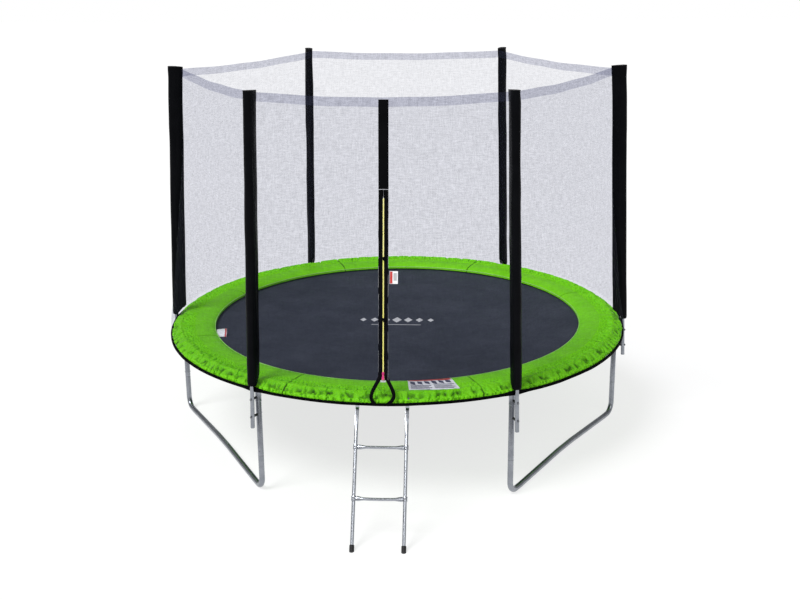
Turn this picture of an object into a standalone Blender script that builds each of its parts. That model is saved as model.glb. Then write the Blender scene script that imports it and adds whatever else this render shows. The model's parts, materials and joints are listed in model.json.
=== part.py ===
"""Ten-foot garden trampoline with a zipped safety net and a hooked ladder.

Metres, +Z up.  The frame ring is modelled around its own centre, and an empty carries it so
that the origin is under the middle of the whole object's footprint.  Angles are measured
around the ring from its front (-Y) towards +X.  A piece that repeats at each pole is modelled
once in a station, where radially outward is -Y, and each station is an empty turned about Z.
"""
import math

import bmesh
import bpy
from mathutils import Matrix, Vector

# ------------------------------------------------------------------ driving dimensions
POLES = 6                       # poles, uprights and top rails
SECTOR = 360.0 / POLES          # degrees of ring for each of them
CLEAR = 0.0003                  # gap left between pieces that touch

FRAME_DIAMETER = 3.048          # over the outside of the top rail, a nominal 10 ft
RAIL_R = 0.019                  # top rail tube radius
RING_R = FRAME_DIAMETER / 2 - RAIL_R
RAIL_Z = 0.680                  # top rail centre height
RAIL_STEPS = 11                 # straight facets along one rail
RAIL_END = 0.8                  # degrees of a short last facet, which squares the rail's end

LEG_R = 0.0175                  # leg tube radius
LEG_BORE_R = 0.0158
SPIGOT_R = 0.0148               # swaged end that plugs into the next tube
SPIGOT_LENGTH = 0.045
SOCKET_R = 0.0185               # socket welded under each top rail
SOCKET_BOTTOM = 0.590
BASE_TOP = 0.236                # where a leg base meets its upright
BASE_SHOULDER = 0.001           # height of the step down to its spigot
BASE_BEND = 0.070               # bend radius of a leg base, on the centre line
BASE_FLAT = 0.060               # level stretch beside each bend, which stands on the ground
BASE_RISE = 0.020               # how far the middle of the base bar is lifted
BASE_CREST = 0.100              # half length of that lifted middle

POLE_R = 0.0125
POLE_BORE_R = 0.0110
POLE_FOOT_RING = 1.5686         # ring radius of the pole's axis at its foot
POLE_FOOT_Z = 0.440
POLE_LEAN = math.radians(2.66)  # inward lean
POLE_LENGTH = 1.930
BOLT_HEIGHTS = (("upper", 0.620), ("lower", 0.510))
BOLT_R = 0.0030
BOLT_HOLE_R = 0.0037
BOLT_HEAD_R = 0.0062
BOLT_HEAD = 0.0040
SPACER_R = 0.0075

SLEEVE_START = 0.266            # along the pole, lowest point of the sleeve
SLEEVE_END = 1.983              # along the pole, its flat top seam
SLEEVE_R = 0.027                # foam and cover around the pole
SLEEVE_FIN = 0.068              # pole axis to the sewn inner edge
SLEEVE_FIN_HALF = 0.010         # half thickness at that edge
SLEEVE_SLOPE = 0.55             # rise of its bottom edge towards the inside
SLEEVE_FLANK = ((0.0225, 0.026), (0.0150, 0.048))    # half thickness at depths behind the pole
SLEEVE_BORE_R = 0.0135

PAD_INNER = 1.250
PAD_OUTER = 1.541
PAD_SKIRT = 0.006               # thickness of the drop skirt
PAD_BOTTOM = 0.7070
PAD_TOP = 0.7270
PAD_SKIRT_BOTTOM = 0.690

MAT_R = 1.290
MAT_THICKNESS = 0.006
SPRINGS = 60
SPRING_HALF = 0.0065            # half width of a spring's stand-in bar
SPRING_RING_INNER = 1.2935
SPRING_RING_OUTER = 1.3035
SPRING_END = 1.4820

NET_THICKNESS = 0.003
FLAP_THICKNESS = 0.0018
NET_BASE_R = 1.546              # the net hangs outside the pad at its foot
NET_BOTTOM = 0.672
NET_SHOULDER = 0.745            # just above the pad, where the net starts to lean in
NET_FLARE = 0.350               # height over which its edges then reach the sleeves
NET_TOP = 2.395
NET_TOP_SAG = 0.020
NET_COLUMNS = 10                # across one panel
NET_FIN_DEPTH = 0.062           # pole axis to the net's edge, well above the pad
NET_EDGE_GAP = 0.0285           # pole's middle plane to the net's edge beside the round sleeve
NET_FIN_GAP = 0.0125            # the same beside the sleeve's thin inner edge

DOOR_APEX_Z = 1.880             # top of the zip
DOOR_FOOT_Z = 0.7465            # bottom edge of the flaps
DOOR_HALF = 18.8                # degrees from the zip to a flap's outer corner
DOOR_GAP = 0.0016               # gap on each side of the hinge line
DOOR_SILL_GAP = 0.002           # gap under the flaps
ZIP_GAP = 0.0015                # from the middle plane to a flap's zip edge
SLIDER_Z = 0.843
SLIDER_SIZE = (0.010, 0.005, 0.045)
SLIDER_OFFSET = 0.0050          # from the net's face to the middle of the slider

LADDER_X = 0.005                # middle of the ladder
LADDER_HALF = 0.1435            # from there to each stile
STILE_R = 0.0105
LADDER_FOOT_Y = -2.010          # stile axis at the ground, in the ring's frame
LEAN_PER_METRE = 0.706          # run of a stile for each metre of height
LADDER_BEND_Z = 0.600
STRAP_HALF_WIDTH = 0.011        # the stile is pressed flat where it hooks over the rail
STRAP_HALF = 0.002
HOOK_CLEAR = 0.0030
RUNG_HEIGHTS = (("lower", 0.236), ("upper", 0.472))
RUNG_MIDDLE = (0.0090, 0.0090)  # half height and half depth
RUNG_END = (0.0120, 0.0070)     # the same where it flares at a stile
RUNG_FLARE = 0.045              # length of that flare
COLLAR_R = 0.0150
COLLAR_HALF = 0.013
CAP_R = 0.0140
CAP_LENGTH = 0.034

# The net's foot is the furthest back, and the ladder's caps are the furthest forward.
LADDER_LEAN = math.atan(LEAN_PER_METRE)
FRONT_REACH = -LADDER_FOOT_Y + CAP_R / math.cos(LADDER_LEAN)
BACK_REACH = NET_BASE_R + NET_THICKNESS / 2
CENTRE_Y = (FRONT_REACH - BACK_REACH) / 2

# ------------------------------------------------------------------ scene, materials, helpers
for old in list(bpy.data.objects):
    bpy.data.objects.remove(old, do_unlink=True)

PARTS = bpy.data.collections.new("trampoline")
CUTTERS = bpy.data.collections.new("cutters")
bpy.context.scene.collection.children.link(PARTS)
bpy.context.scene.collection.children.link(CUTTERS)


def material(name, color, roughness, metallic=0.0):
    """A Principled material."""
    made = bpy.data.materials.new(name)
    made.use_nodes = True
    shader = made.node_tree.nodes["Principled BSDF"]
    shader.inputs["Base Color"].default_value = (*color, 1.0)
    shader.inputs["Roughness"].default_value = roughness
    shader.inputs["Metallic"].default_value = metallic
    return made


STEEL = material("galvanised_steel", (0.62, 0.65, 0.69), 0.35, 1.0)
ZINC = material("zinc_fastener", (0.30, 0.31, 0.33), 0.40, 1.0)
SLEEVE = material("black_sleeve", (0.008, 0.008, 0.010), 0.45)
GREEN = material("green_pad", (0.20, 0.52, 0.04), 0.50)
WEAVE = material("mat_weave", (0.045, 0.052, 0.068), 0.60)
NET = material("white_net", (0.80, 0.81, 0.84), 0.80)
BLACK = material("black_plastic", (0.010, 0.010, 0.012), 0.50)
ZIP = material("zip_pull", (0.60, 0.03, 0.20), 0.40)


def empty(name, parent=None, location=(0, 0, 0), turn=0.0):
    """A guide that carries other objects, turned about Z by so many degrees."""
    made = bpy.data.objects.new(name, None)
    made.location = location
    made.rotation_euler = (0, 0, math.radians(turn))
    made.parent = parent
    PARTS.objects.link(made)
    return made


def add(name, mesh, surface, parent, location=(0, 0, 0), lean=0.0):
    """An object of the part: its mesh, material, parent and place."""
    if not mesh.materials:
        mesh.materials.append(surface)
    made = bpy.data.objects.new(name, mesh)
    made.parent = parent
    made.location = location
    made.rotation_euler = (lean, 0, 0)
    PARTS.objects.link(made)
    return made


def mesh_of(builder):
    """A mesh datablock from a bmesh."""
    bmesh.ops.recalc_face_normals(builder, faces=builder.faces)
    mesh = bpy.data.meshes.new("mesh")
    builder.to_mesh(mesh)
    builder.free()
    return mesh


def bake(made):
    """The evaluated, welded mesh of an object, which is then removed."""
    bpy.context.view_layer.update()
    graph = bpy.context.evaluated_depsgraph_get()
    mesh = bpy.data.meshes.new_from_object(made.evaluated_get(graph))
    mesh.transform(made.matrix_world)
    builder = bmesh.new()
    builder.from_mesh(mesh)
    bmesh.ops.remove_doubles(builder, verts=builder.verts, dist=0.00005)
    bpy.data.objects.remove(made, do_unlink=True)
    bpy.data.meshes.remove(mesh)
    return mesh_of(builder)


def rounded(mesh, angle=35):
    """Smooth shading that keeps the real edges sharp."""
    mesh.shade_smooth()
    mesh.set_sharp_from_angle(angle=math.radians(angle))
    return mesh


def temporary(mesh, collection=PARTS):
    """A short-lived object that holds a mesh while it is modified."""
    made = bpy.data.objects.new("work", mesh)
    collection.objects.link(made)
    return made


def tube(points, radius, factors=None):
    """The mesh of a round bar along points, with filled caps."""
    curve = bpy.data.curves.new("tube", "CURVE")
    curve.dimensions = "3D"
    curve.bevel_depth = radius
    curve.bevel_resolution = 2
    curve.use_fill_caps = True
    spline = curve.splines.new("POLY")
    spline.points.add(len(points) - 1)
    for index, point in enumerate(points):
        spline.points[index].co = (*point, 1.0)
        if factors:
            spline.points[index].radius = factors[index]
    made = bpy.data.objects.new("tube", curve)
    PARTS.objects.link(made)
    return bake(made)


def lathe(profile, steps):
    """The mesh of a closed or axis-to-axis profile of (radius, height), turned about Z."""
    builder = bmesh.new()
    verts = [builder.verts.new((radius, 0, height)) for radius, height in profile]
    for first, second in zip(verts, verts[1:]):
        builder.edges.new((first, second))
    if profile[0][0] > 0:
        builder.edges.new((verts[-1], verts[0]))
    made = temporary(mesh_of(builder))
    screw = made.modifiers.new("turn", "SCREW")
    screw.steps = steps
    screw.render_steps = steps
    screw.use_merge_vertices = True
    screw.merge_threshold = 0.00005
    return rounded(bake(made))


def rod(radius, start, end, sides):
    """The mesh of a capped cylinder from start to end."""
    start, end = Vector(start), Vector(end)
    axis = end - start
    builder = bmesh.new()
    turn = axis.to_track_quat("Z", "Y").to_matrix().to_4x4()
    bmesh.ops.create_cone(builder, cap_ends=True, segments=sides, radius1=radius, radius2=radius,
                          depth=axis.length, matrix=Matrix.Translation((start + end) / 2) @ turn)
    return mesh_of(builder)


def combine(mesh, others, operation):
    """The Boolean of a mesh with each of the others in turn."""
    made = temporary(mesh)
    for index, other in enumerate(others):
        tool = temporary(other, CUTTERS)
        tool.hide_render = True
        tool.display_type = "WIRE"
        step = made.modifiers.new(f"{operation.lower()}_{index}", "BOOLEAN")
        step.operation = operation
        step.object = tool
    result = bake(made)
    for tool in list(CUTTERS.objects):
        bpy.data.objects.remove(tool, do_unlink=True)
    return result


def loft(rings):
    """The mesh of a capped skin through rings of equally many points."""
    builder = bmesh.new()
    rows = [[builder.verts.new(point) for point in ring] for ring in rings]
    count = len(rows[0])
    for lower, upper in zip(rows, rows[1:]):
        for index in range(count):
            after = (index + 1) % count
            builder.faces.new((lower[index], lower[after], upper[after], upper[index]))
    builder.faces.new(list(reversed(rows[0])))
    builder.faces.new(rows[-1])
    return mesh_of(builder)


def sheet(rows, thickness, extra=()):
    """The mesh of a cloth panel: grids of points, welded where they meet, made solid."""
    builder = bmesh.new()
    for grid in (rows, *extra):
        verts = [[builder.verts.new(point) for point in row] for row in grid]
        for lower, upper in zip(verts, verts[1:]):
            for index in range(len(lower) - 1):
                builder.faces.new((lower[index], lower[index + 1], upper[index + 1], upper[index]))
    bmesh.ops.remove_doubles(builder, verts=builder.verts, dist=0.0001)
    made = temporary(mesh_of(builder))
    solid = made.modifiers.new("thickness", "SOLIDIFY")
    solid.thickness = thickness
    solid.offset = 0
    return rounded(bake(made))


def on_ring(degrees, radius, height):
    """A point of the ring's frame at an angle from the front."""
    angle = math.radians(degrees)
    return Vector((radius * math.sin(angle), -radius * math.cos(angle), height))


def pole_ring(height):
    """Ring radius of a pole's axis at a height."""
    return POLE_FOOT_RING - (height - POLE_FOOT_Z) * math.tan(POLE_LEAN)


ROOT = empty("ring_centre", location=(0, CENTRE_Y, 0))
STATIONS = []
for number in range(POLES):
    angle = SECTOR * (number + 0.5) - 180
    STATIONS.append((number + 1, angle, empty(f"station_{number + 1}", ROOT, turn=angle)))


# ------------------------------------------------------------------ steel frame
def bolt_holes(heights):
    """Cutters for radial bolts through a leg and its pole, long enough to pass both."""
    inner, outer = -RING_R + 3 * SOCKET_R, -POLE_FOOT_RING - 3 * SOCKET_R
    return [rod(BOLT_HOLE_R, (0, inner, height), (0, outer, height), 8) for height in heights]


def top_rail():
    """One curved rail with its welded socket, whose spigot plugs into an upright."""
    reach = SECTOR / 2 - math.degrees(CLEAR / RING_R)
    inner = reach - RAIL_END
    turns = [-reach] + [-inner + 2 * inner * step / RAIL_STEPS for step in range(RAIL_STEPS + 1)] + [reach]
    arc = [on_ring(degrees, RING_R, RAIL_Z) for degrees in turns]
    profile = [(0, RAIL_Z), (SOCKET_R, RAIL_Z), (SOCKET_R, SOCKET_BOTTOM),
               (SPIGOT_R, SOCKET_BOTTOM), (SPIGOT_R, SOCKET_BOTTOM - SPIGOT_LENGTH),
               (0, SOCKET_BOTTOM - SPIGOT_LENGTH)]
    socket = lathe(profile, 12)
    socket.transform(Matrix.Translation((0, -RING_R, 0)))
    joined = combine(tube(arc, RAIL_R), [socket], "UNION")
    return rounded(combine(joined, bolt_holes([BOLT_HEIGHTS[0][1]]), "DIFFERENCE"))


def upright():
    """A hollow leg tube between a rail's socket and a leg base."""
    low, high = BASE_TOP + CLEAR, SOCKET_BOTTOM - CLEAR
    wall = [(LEG_R, high), (LEG_R, low), (LEG_BORE_R, low), (LEG_BORE_R, high)]
    made = lathe(wall, 12)
    made.transform(Matrix.Translation((0, -RING_R, 0)))
    return rounded(combine(made, bolt_holes([BOLT_HEIGHTS[1][1]]), "DIFFERENCE"))


def leg_base():
    """The bent tube that joins the feet of two uprights along the ground."""
    foot_x = RING_R * math.sin(math.radians(SECTOR / 2))
    bar_y = -RING_R * math.cos(math.radians(SECTOR / 2))
    half = [(foot_x, BASE_TOP + SPIGOT_LENGTH, SPIGOT_R), (foot_x, BASE_TOP, SPIGOT_R),
            (foot_x, BASE_TOP - BASE_SHOULDER, LEG_R)]
    for step in range(6):
        turn = math.radians(90 * step / 5)
        half.append((foot_x - BASE_BEND * (1 - math.cos(turn)),
                     LEG_R + BASE_BEND * (1 - math.sin(turn)), LEG_R))
    half.append((foot_x - BASE_BEND - BASE_FLAT, LEG_R, LEG_R))
    half.append((BASE_CREST, LEG_R + BASE_RISE, LEG_R))
    outline = half + [(-x, z, radius) for x, z, radius in reversed(half)]
    points = [(x, bar_y, z) for x, z, radius in outline]
    factors = [radius / LEG_R for x, z, radius in outline]
    return rounded(tube(points, LEG_R, factors))


def net_pole():
    """A hollow pole, along Z from its foot, drilled for its two bolts."""
    wall = [(POLE_R, POLE_LENGTH), (POLE_R, 0), (POLE_BORE_R, 0), (POLE_BORE_R, POLE_LENGTH)]
    made = lathe(wall, 12)
    place = Matrix.Translation((0, -POLE_FOOT_RING, POLE_FOOT_Z)) @ Matrix.Rotation(-POLE_LEAN, 4, "X")
    made.transform(place)
    drilled = combine(made, bolt_holes([height for name, height in BOLT_HEIGHTS]), "DIFFERENCE")
    drilled.transform(place.inverted())
    return rounded(drilled)


def pole_bolt(height):
    """Bolt, spacer and nut, along Z from the nut outwards; Z = 0 is the leg's inner face."""
    leg_r = SOCKET_R if height > SOCKET_BOTTOM else LEG_R
    leg_outer = 2 * leg_r + CLEAR
    pole_axis = pole_ring(height) - RING_R + leg_r
    pole_half = POLE_R / math.cos(POLE_LEAN)
    pole_inner = pole_axis - pole_half - 0.001
    pole_outer = pole_axis + pole_half + CLEAR
    profile = [(0, pole_outer + BOLT_HEAD), (BOLT_HEAD_R, pole_outer + BOLT_HEAD),
               (BOLT_HEAD_R, pole_outer + 0.0003), (BOLT_R, pole_outer + 0.0003), (BOLT_R, pole_inner),
               (SPACER_R, pole_inner), (SPACER_R, leg_outer), (BOLT_R, leg_outer),
               (BOLT_R, -CLEAR), (BOLT_HEAD_R, -CLEAR), (BOLT_HEAD_R, -CLEAR - BOLT_HEAD),
               (0, -CLEAR - BOLT_HEAD)]
    return lathe(profile, 6), leg_r


def pole_sleeve():
    """Foam and cover around a pole, pinched towards the net and sewn flat at the top."""
    arc = [(math.cos(math.radians(a)) * SLEEVE_R, math.sin(math.radians(a)) * SLEEVE_R)
           for a in range(180, 361, 30)]
    flank = [*SLEEVE_FLANK, (SLEEVE_FIN_HALF, SLEEVE_FIN)]
    outline = arc + flank + [(-x, y) for x, y in reversed(flank)]

    def ring(length, squeeze=1.0, slope=0.0):
        return [(x * squeeze, y, length + slope * (y + SLEEVE_R)) for x, y in outline]

    rings = [ring(SLEEVE_START, 0.96, SLEEVE_SLOPE), ring(SLEEVE_START + 0.012, 1.0, SLEEVE_SLOPE),
             ring(SLEEVE_START + 0.120), ring(1.10), ring(SLEEVE_END - 0.040), ring(SLEEVE_END, 0.22)]
    bore = rod(SLEEVE_BORE_R, (0, 0, SLEEVE_START - 0.05), (0, 0, POLE_LENGTH + 0.003), 12)
    return rounded(combine(loft(rings), [bore], "DIFFERENCE"))


rail_mesh, upright_mesh, base_mesh = top_rail(), upright(), leg_base()
pole_mesh, sleeve_mesh = net_pole(), pole_sleeve()
pole_foot = (0, -POLE_FOOT_RING, POLE_FOOT_Z)
for number, angle, station in STATIONS:
    add(f"top_rail_{number}", rail_mesh, STEEL, station)
    add(f"leg_upright_{number}", upright_mesh, STEEL, station)
    add(f"net_pole_{number}", pole_mesh, STEEL, station, pole_foot, -POLE_LEAN)
    add(f"pole_sleeve_{number}", sleeve_mesh, SLEEVE, station, pole_foot, -POLE_LEAN)

for label, height in BOLT_HEIGHTS:
    bolt_mesh, leg_r = pole_bolt(height)
    for number, angle, station in STATIONS:
        add(f"{label}_bolt_{number}", bolt_mesh, ZINC, station, (0, -RING_R + leg_r, height), math.radians(90))

for number, angle in enumerate((-SECTOR, SECTOR, 180), start=1):
    add(f"leg_base_{number}", base_mesh, STEEL, empty(f"base_station_{number}", ROOT, turn=angle))


# ------------------------------------------------------------------ bed and pad
def jump_mat():
    """The woven bed."""
    return rounded(rod(MAT_R, (0, 0, -MAT_THICKNESS / 2), (0, 0, MAT_THICKNESS / 2), SPRINGS))


def spring_ring():
    """All the springs, standing out of the band of rings at the edge of the bed."""
    half = SPRING_HALF
    band = [(SPRING_RING_OUTER, half), (SPRING_RING_OUTER, -half),
            (SPRING_RING_INNER, -half), (SPRING_RING_INNER, half)]
    ring = lathe(band, SPRINGS)
    start = (SPRING_RING_INNER + SPRING_RING_OUTER) / 2
    bars = bmesh.new()
    for index in range(SPRINGS):
        size = Matrix.Diagonal((2 * half * 0.9, SPRING_END - start, 2 * half * 0.9, 1))
        reach = Matrix.Translation((0, -(start + SPRING_END) / 2, 0))
        turn = Matrix.Rotation(math.radians((index + 0.5) * 360 / SPRINGS), 4, "Z")
        bmesh.ops.create_cube(bars, size=1, matrix=turn @ reach @ size)
    return combine(ring, [mesh_of(bars)], "UNION")


def safety_pad():
    """The foam ring over the springs, with its drop skirt outside the rail."""
    skirt = PAD_OUTER - PAD_SKIRT
    profile = [(PAD_INNER, PAD_TOP - 0.003), (PAD_INNER + 0.05, PAD_TOP), (PAD_OUTER - 0.04, PAD_TOP),
               (PAD_OUTER - 0.006, PAD_TOP - 0.004), (PAD_OUTER, PAD_TOP - 0.012),
               (PAD_OUTER, PAD_SKIRT_BOTTOM), (skirt, PAD_SKIRT_BOTTOM),
               (skirt, PAD_BOTTOM), (PAD_INNER, PAD_BOTTOM)]
    return lathe(profile, SPRINGS)


add("jump_mat", jump_mat(), WEAVE, ROOT, (0, 0, RAIL_Z))
add("spring_ring", spring_ring(), STEEL, ROOT, (0, 0, RAIL_Z))
add("safety_pad", safety_pad(), GREEN, ROOT)


# ------------------------------------------------------------------ net
def net_edge(height):
    """Angle from a panel's middle to its edge, and the ring radius there."""
    blend = min(max((height - NET_SHOULDER) / NET_FLARE, 0.0), 1.0)
    gap = NET_EDGE_GAP + (NET_FIN_GAP - NET_EDGE_GAP) * blend
    radius = NET_BASE_R + (pole_ring(height) - NET_FIN_DEPTH - NET_BASE_R) * blend
    return SECTOR / 2 - math.degrees(gap / radius), radius


def net_point(share, height):
    """A point of a panel: share runs from -1 to 1 across it.

    A panel is round like the frame at its foot and pulled straight between the poles at its top.
    """
    edge, radius = net_edge(height)
    degrees = share * edge
    straight = radius * math.cos(math.radians(edge)) / math.cos(math.radians(degrees))
    pull = min(max((height - NET_SHOULDER) / (NET_TOP - NET_SHOULDER), 0.0), 1.0)
    return on_ring(degrees, radius + (straight - radius) * pull, height)


def net_top(share):
    """Height of the top hem, which hangs a little between the poles."""
    return NET_TOP - NET_TOP_SAG * (1 - share * share)


SHARES = [2 * column / NET_COLUMNS - 1 for column in range(NET_COLUMNS + 1)]
NET_ROWS = (NET_BOTTOM, NET_SHOULDER, NET_SHOULDER + NET_FLARE, 1.75)
DOOR_ROWS = (NET_SHOULDER + NET_FLARE, 1.5)


def net_panel():
    """A full panel of net between two poles."""
    rows = [[net_point(share, height) for share in SHARES] for height in NET_ROWS]
    rows.append([net_point(share, net_top(share)) for share in SHARES])
    return sheet(rows, NET_THICKNESS)


APEX = net_point(0, DOOR_APEX_Z)
CORNER = on_ring(DOOR_HALF, NET_BASE_R, DOOR_FOOT_Z)
ZIP_FOOT = on_ring(0, NET_BASE_R, DOOR_FOOT_Z)
HINGE_AXIS = (APEX - CORNER).normalized()
DOOR_FACE = (ZIP_FOOT - CORNER).cross(APEX - CORNER).normalized()
DOOR_FACE = DOOR_FACE if DOOR_FACE.y < 0 else -DOOR_FACE
INTO_DOOR = DOOR_FACE.cross(HINGE_AXIS).normalized()
INTO_DOOR = INTO_DOOR if INTO_DOOR.x < 0 else -INTO_DOOR


def hinge_point(height):
    """Where the right-hand hinge line passes a height, moved off it by the door gap."""
    share = (height - CORNER.z) / (APEX.z - CORNER.z)
    return CORNER.lerp(APEX, share) - INTO_DOOR * DOOR_GAP * (1 - share)


def front_side(height):
    """One level of the fixed net to the right of the door, from the hinge line to the pole."""
    hinge = hinge_point(height) if height < DOOR_APEX_Z else net_point(0, height)
    if height >= NET_TOP - NET_TOP_SAG:
        hinge = net_point(0, net_top(0))
    edge, radius = net_edge(height)
    start = math.degrees(math.atan2(hinge.x, -hinge.y)) / edge
    row = []
    for column in range(5):
        mix = column / 4
        share = start + (1 - start) * mix
        level = net_top(share) if height >= NET_TOP - NET_TOP_SAG else height
        point = net_point(share, level)
        row.append(point + (hinge - net_point(start, hinge.z)) * (1 - mix) ** 2)
    return row


def net_front():
    """The front panel around the door: both sides, the strip under it and the net above it."""
    heights = (DOOR_FOOT_Z - DOOR_SILL_GAP, *DOOR_ROWS, DOOR_APEX_Z, NET_TOP)
    right = [front_side(height) for height in heights]
    left = [[Vector((-p.x, p.y, p.z)) for p in reversed(row)] for row in right]
    sill = right[0]
    corner_share = math.degrees(math.atan2(sill[0].x, -sill[0].y)) / net_edge(NET_BOTTOM)[0]
    across = [corner_share * (2 * column / 8 - 1) for column in range(9)]
    middle = [net_point(share, sill[0].z) for share in across]
    middle[0], middle[-1] = left[0][-1], sill[0]
    upper = left[0] + middle[1:-1] + sill
    lower = []
    for point in upper:
        lower.append(on_ring(math.degrees(math.atan2(point.x, -point.y)), NET_BASE_R, NET_BOTTOM))
    return sheet(right, NET_THICKNESS, (left, [lower, upper]))


def door_flap(side):
    """A triangular flap between the zip and its hinge line, about its lower hinge corner."""
    low = CORNER + INTO_DOOR * DOOR_GAP
    high = APEX + INTO_DOOR * DOOR_GAP
    top = low.lerp(high, (low.x - ZIP_GAP) / (low.x - high.x))
    foot = Vector((ZIP_GAP, ZIP_FOOT.y, ZIP_FOOT.z))
    corners = [low, top, foot]
    inward = DOOR_FACE * (NET_THICKNESS / 2)
    builder = bmesh.new()
    points = [(corner - inward - CORNER) for corner in corners]
    builder.faces.new([builder.verts.new((side * p.x, p.y, p.z)) for p in points])
    made = temporary(mesh_of(builder))
    solid = made.modifiers.new("thickness", "SOLIDIFY")
    solid.thickness = FLAP_THICKNESS
    solid.offset = 0
    return bake(made)


panel_mesh = net_panel()
for number, turn in enumerate(range(1, POLES), start=1):
    add(f"net_panel_{number}", panel_mesh, NET, empty(f"panel_station_{number}", ROOT, turn=turn * SECTOR))
add("net_front", net_front(), NET, ROOT)
for label, side in (("left", -1), ("right", 1)):
    add(f"door_flap_{label}", door_flap(side), NET, ROOT, (side * CORNER.x, CORNER.y, CORNER.z))


def zip_slider():
    """The slider and its pull, on the right-hand half of the zip."""
    builder = bmesh.new()
    bmesh.ops.create_cube(builder, size=1, matrix=Matrix.Diagonal((*SLIDER_SIZE, 1)))
    made = temporary(mesh_of(builder))
    edges = made.modifiers.new("edges", "BEVEL")
    edges.width = 0.0012
    edges.segments = 1
    return bake(made)


zip_axis = (APEX - ZIP_FOOT).normalized()
slider_at = ZIP_FOOT + zip_axis * ((SLIDER_Z - ZIP_FOOT.z) / zip_axis.z)
slider_at = slider_at + DOOR_FACE * SLIDER_OFFSET
slider_at.x = ZIP_GAP + SLIDER_SIZE[0] / 2
slider_lean = math.atan2(-zip_axis.y, zip_axis.z)
add("zip_slider", zip_slider(), ZIP, ROOT, slider_at, slider_lean)

# ------------------------------------------------------------------ ladder
STILE_X = (("left", LADDER_X - LADDER_HALF), ("right", LADDER_X + LADDER_HALF))
HOOK_Y = -math.sqrt(RING_R ** 2 - LADDER_HALF ** 2)     # rail centre at a stile
HOOK_R = RAIL_R + HOOK_CLEAR + STRAP_HALF


def stile_point(height):
    """A stile's axis at a height, as (y, z)."""
    return Vector((LADDER_FOOT_Y + LEAN_PER_METRE * height, height))


def stile():
    """A round stile pressed flat at its top, where it bends over the rail."""
    round_part = (STILE_R, STILE_R, 1.0)
    strap = (STRAP_HALF_WIDTH, STRAP_HALF, 0.5)
    halfway = (STRAP_HALF_WIDTH, 0.0055, 0.8)
    path = [(stile_point(0.010), round_part), (stile_point(0.300), round_part),
            (stile_point(LADDER_BEND_Z - 0.045), round_part), (stile_point(LADDER_BEND_Z - 0.015), halfway),
            (stile_point(LADDER_BEND_Z + 0.008), strap),
            (Vector((HOOK_Y - HOOK_R - 0.004, RAIL_Z - 0.034)), strap),
            (Vector((HOOK_Y - HOOK_R, RAIL_Z - 0.022)), strap)]
    for step in range(9):
        turn = math.radians(180 - 24 * step)
        path.append((Vector((HOOK_Y + HOOK_R * math.cos(turn), RAIL_Z + HOOK_R * math.sin(turn))), strap))
    rings = []
    for index, (point, section) in enumerate(path):
        before, after = path[max(index - 1, 0)][0], path[min(index + 1, len(path) - 1)][0]
        tangent = (after - before).normalized()
        normal = Vector((tangent.y, -tangent.x))
        half_width, half_depth, power = section
        ring = []
        for side in range(12):
            turn = math.radians(30 * side + 15)
            across = math.copysign(abs(math.cos(turn)) ** power, math.cos(turn)) * half_width
            depth = math.copysign(abs(math.sin(turn)) ** power, math.sin(turn)) * half_depth
            ring.append((across, point.x + normal.x * depth, point.y + normal.y * depth))
        rings.append(ring)
    return rounded(loft(rings), 50)


def rung(height):
    """A rung that flares into a collar around each stile."""
    centre = stile_point(height)
    along = Vector((0, LEAN_PER_METRE, 1)).normalized()
    outwards = Vector((0, -along.z, along.y))
    middle = Vector((0, centre.x, centre.y))
    rings = []
    waist = LADDER_HALF - RUNG_FLARE
    for x, (half_height, half_depth) in ((-LADDER_HALF, RUNG_END), (-waist, RUNG_MIDDLE),
                                         (waist, RUNG_MIDDLE), (LADDER_HALF, RUNG_END)):
        ring = []
        for side in range(10):
            turn = math.radians(36 * side)
            ring.append(middle + Vector((x, 0, 0)) + along * half_height * math.sin(turn)
                        + outwards * half_depth * math.cos(turn))
        rings.append(ring)
    collars, bores = [], []
    for side in (-1, 1):
        hub = middle + Vector((side * LADDER_HALF, 0, 0))
        collars.append(rod(COLLAR_R, hub - along * COLLAR_HALF, hub + along * COLLAR_HALF, 12))
        bores.append(rod(STILE_R + 0.0009, hub - along * 0.03, hub + along * 0.03, 12))
    return rounded(combine(combine(loft(rings), collars, "UNION"), bores, "DIFFERENCE"))


def foot_cap():
    """A plastic cap over the end of a stile, cut level where it stands."""
    along = Vector((0, LEAN_PER_METRE, 1)).normalized()
    ground = Vector((0, LADDER_FOOT_Y, 0))
    body = rod(CAP_R, ground - along * 0.02, ground + along * CAP_LENGTH, 12)
    end = Vector((0, *stile_point(0.010))) - along * 0.0006
    bore = rod(STILE_R + 0.0006, end, end + along * 0.06, 12)
    block = bmesh.new()
    bmesh.ops.create_cube(block, size=0.1, matrix=Matrix.Translation((0, LADDER_FOOT_Y, -0.05)))
    return rounded(combine(body, [bore, mesh_of(block)], "DIFFERENCE"))


LADDER_PIVOT = empty("ladder_pivot", ROOT, (LADDER_X, HOOK_Y, RAIL_Z))
into_pivot = Matrix.Translation((0, -HOOK_Y, -RAIL_Z))
stile_mesh, cap_mesh = stile(), foot_cap()
for mesh in (stile_mesh, cap_mesh):
    mesh.transform(into_pivot)
for label, x in STILE_X:
    add(f"ladder_stile_{label}", stile_mesh, STEEL, LADDER_PIVOT, (x - LADDER_X, 0, 0))
    add(f"ladder_foot_{label}", cap_mesh, BLACK, LADDER_PIVOT, (x - LADDER_X, 0, 0))
for label, height in RUNG_HEIGHTS:
    rung_mesh = rung(height)
    rung_mesh.transform(into_pivot)
    add(f"ladder_rung_{label}", rung_mesh, STEEL, LADDER_PIVOT)
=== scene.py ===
"""Looks of a ten-foot garden trampoline with a zipped net and a ladder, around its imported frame.

Metres, +Z up, in the frame's own space.  Angles run round the ring from its front (-Y) towards
+X.  Every size that belongs to the frame is measured from its nodes; the rest are named below.
"""
import json
import math

import bmesh
import bpy
import numpy as np
from mathutils import Matrix, Vector
from mathutils.bvhtree import BVHTree


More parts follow.
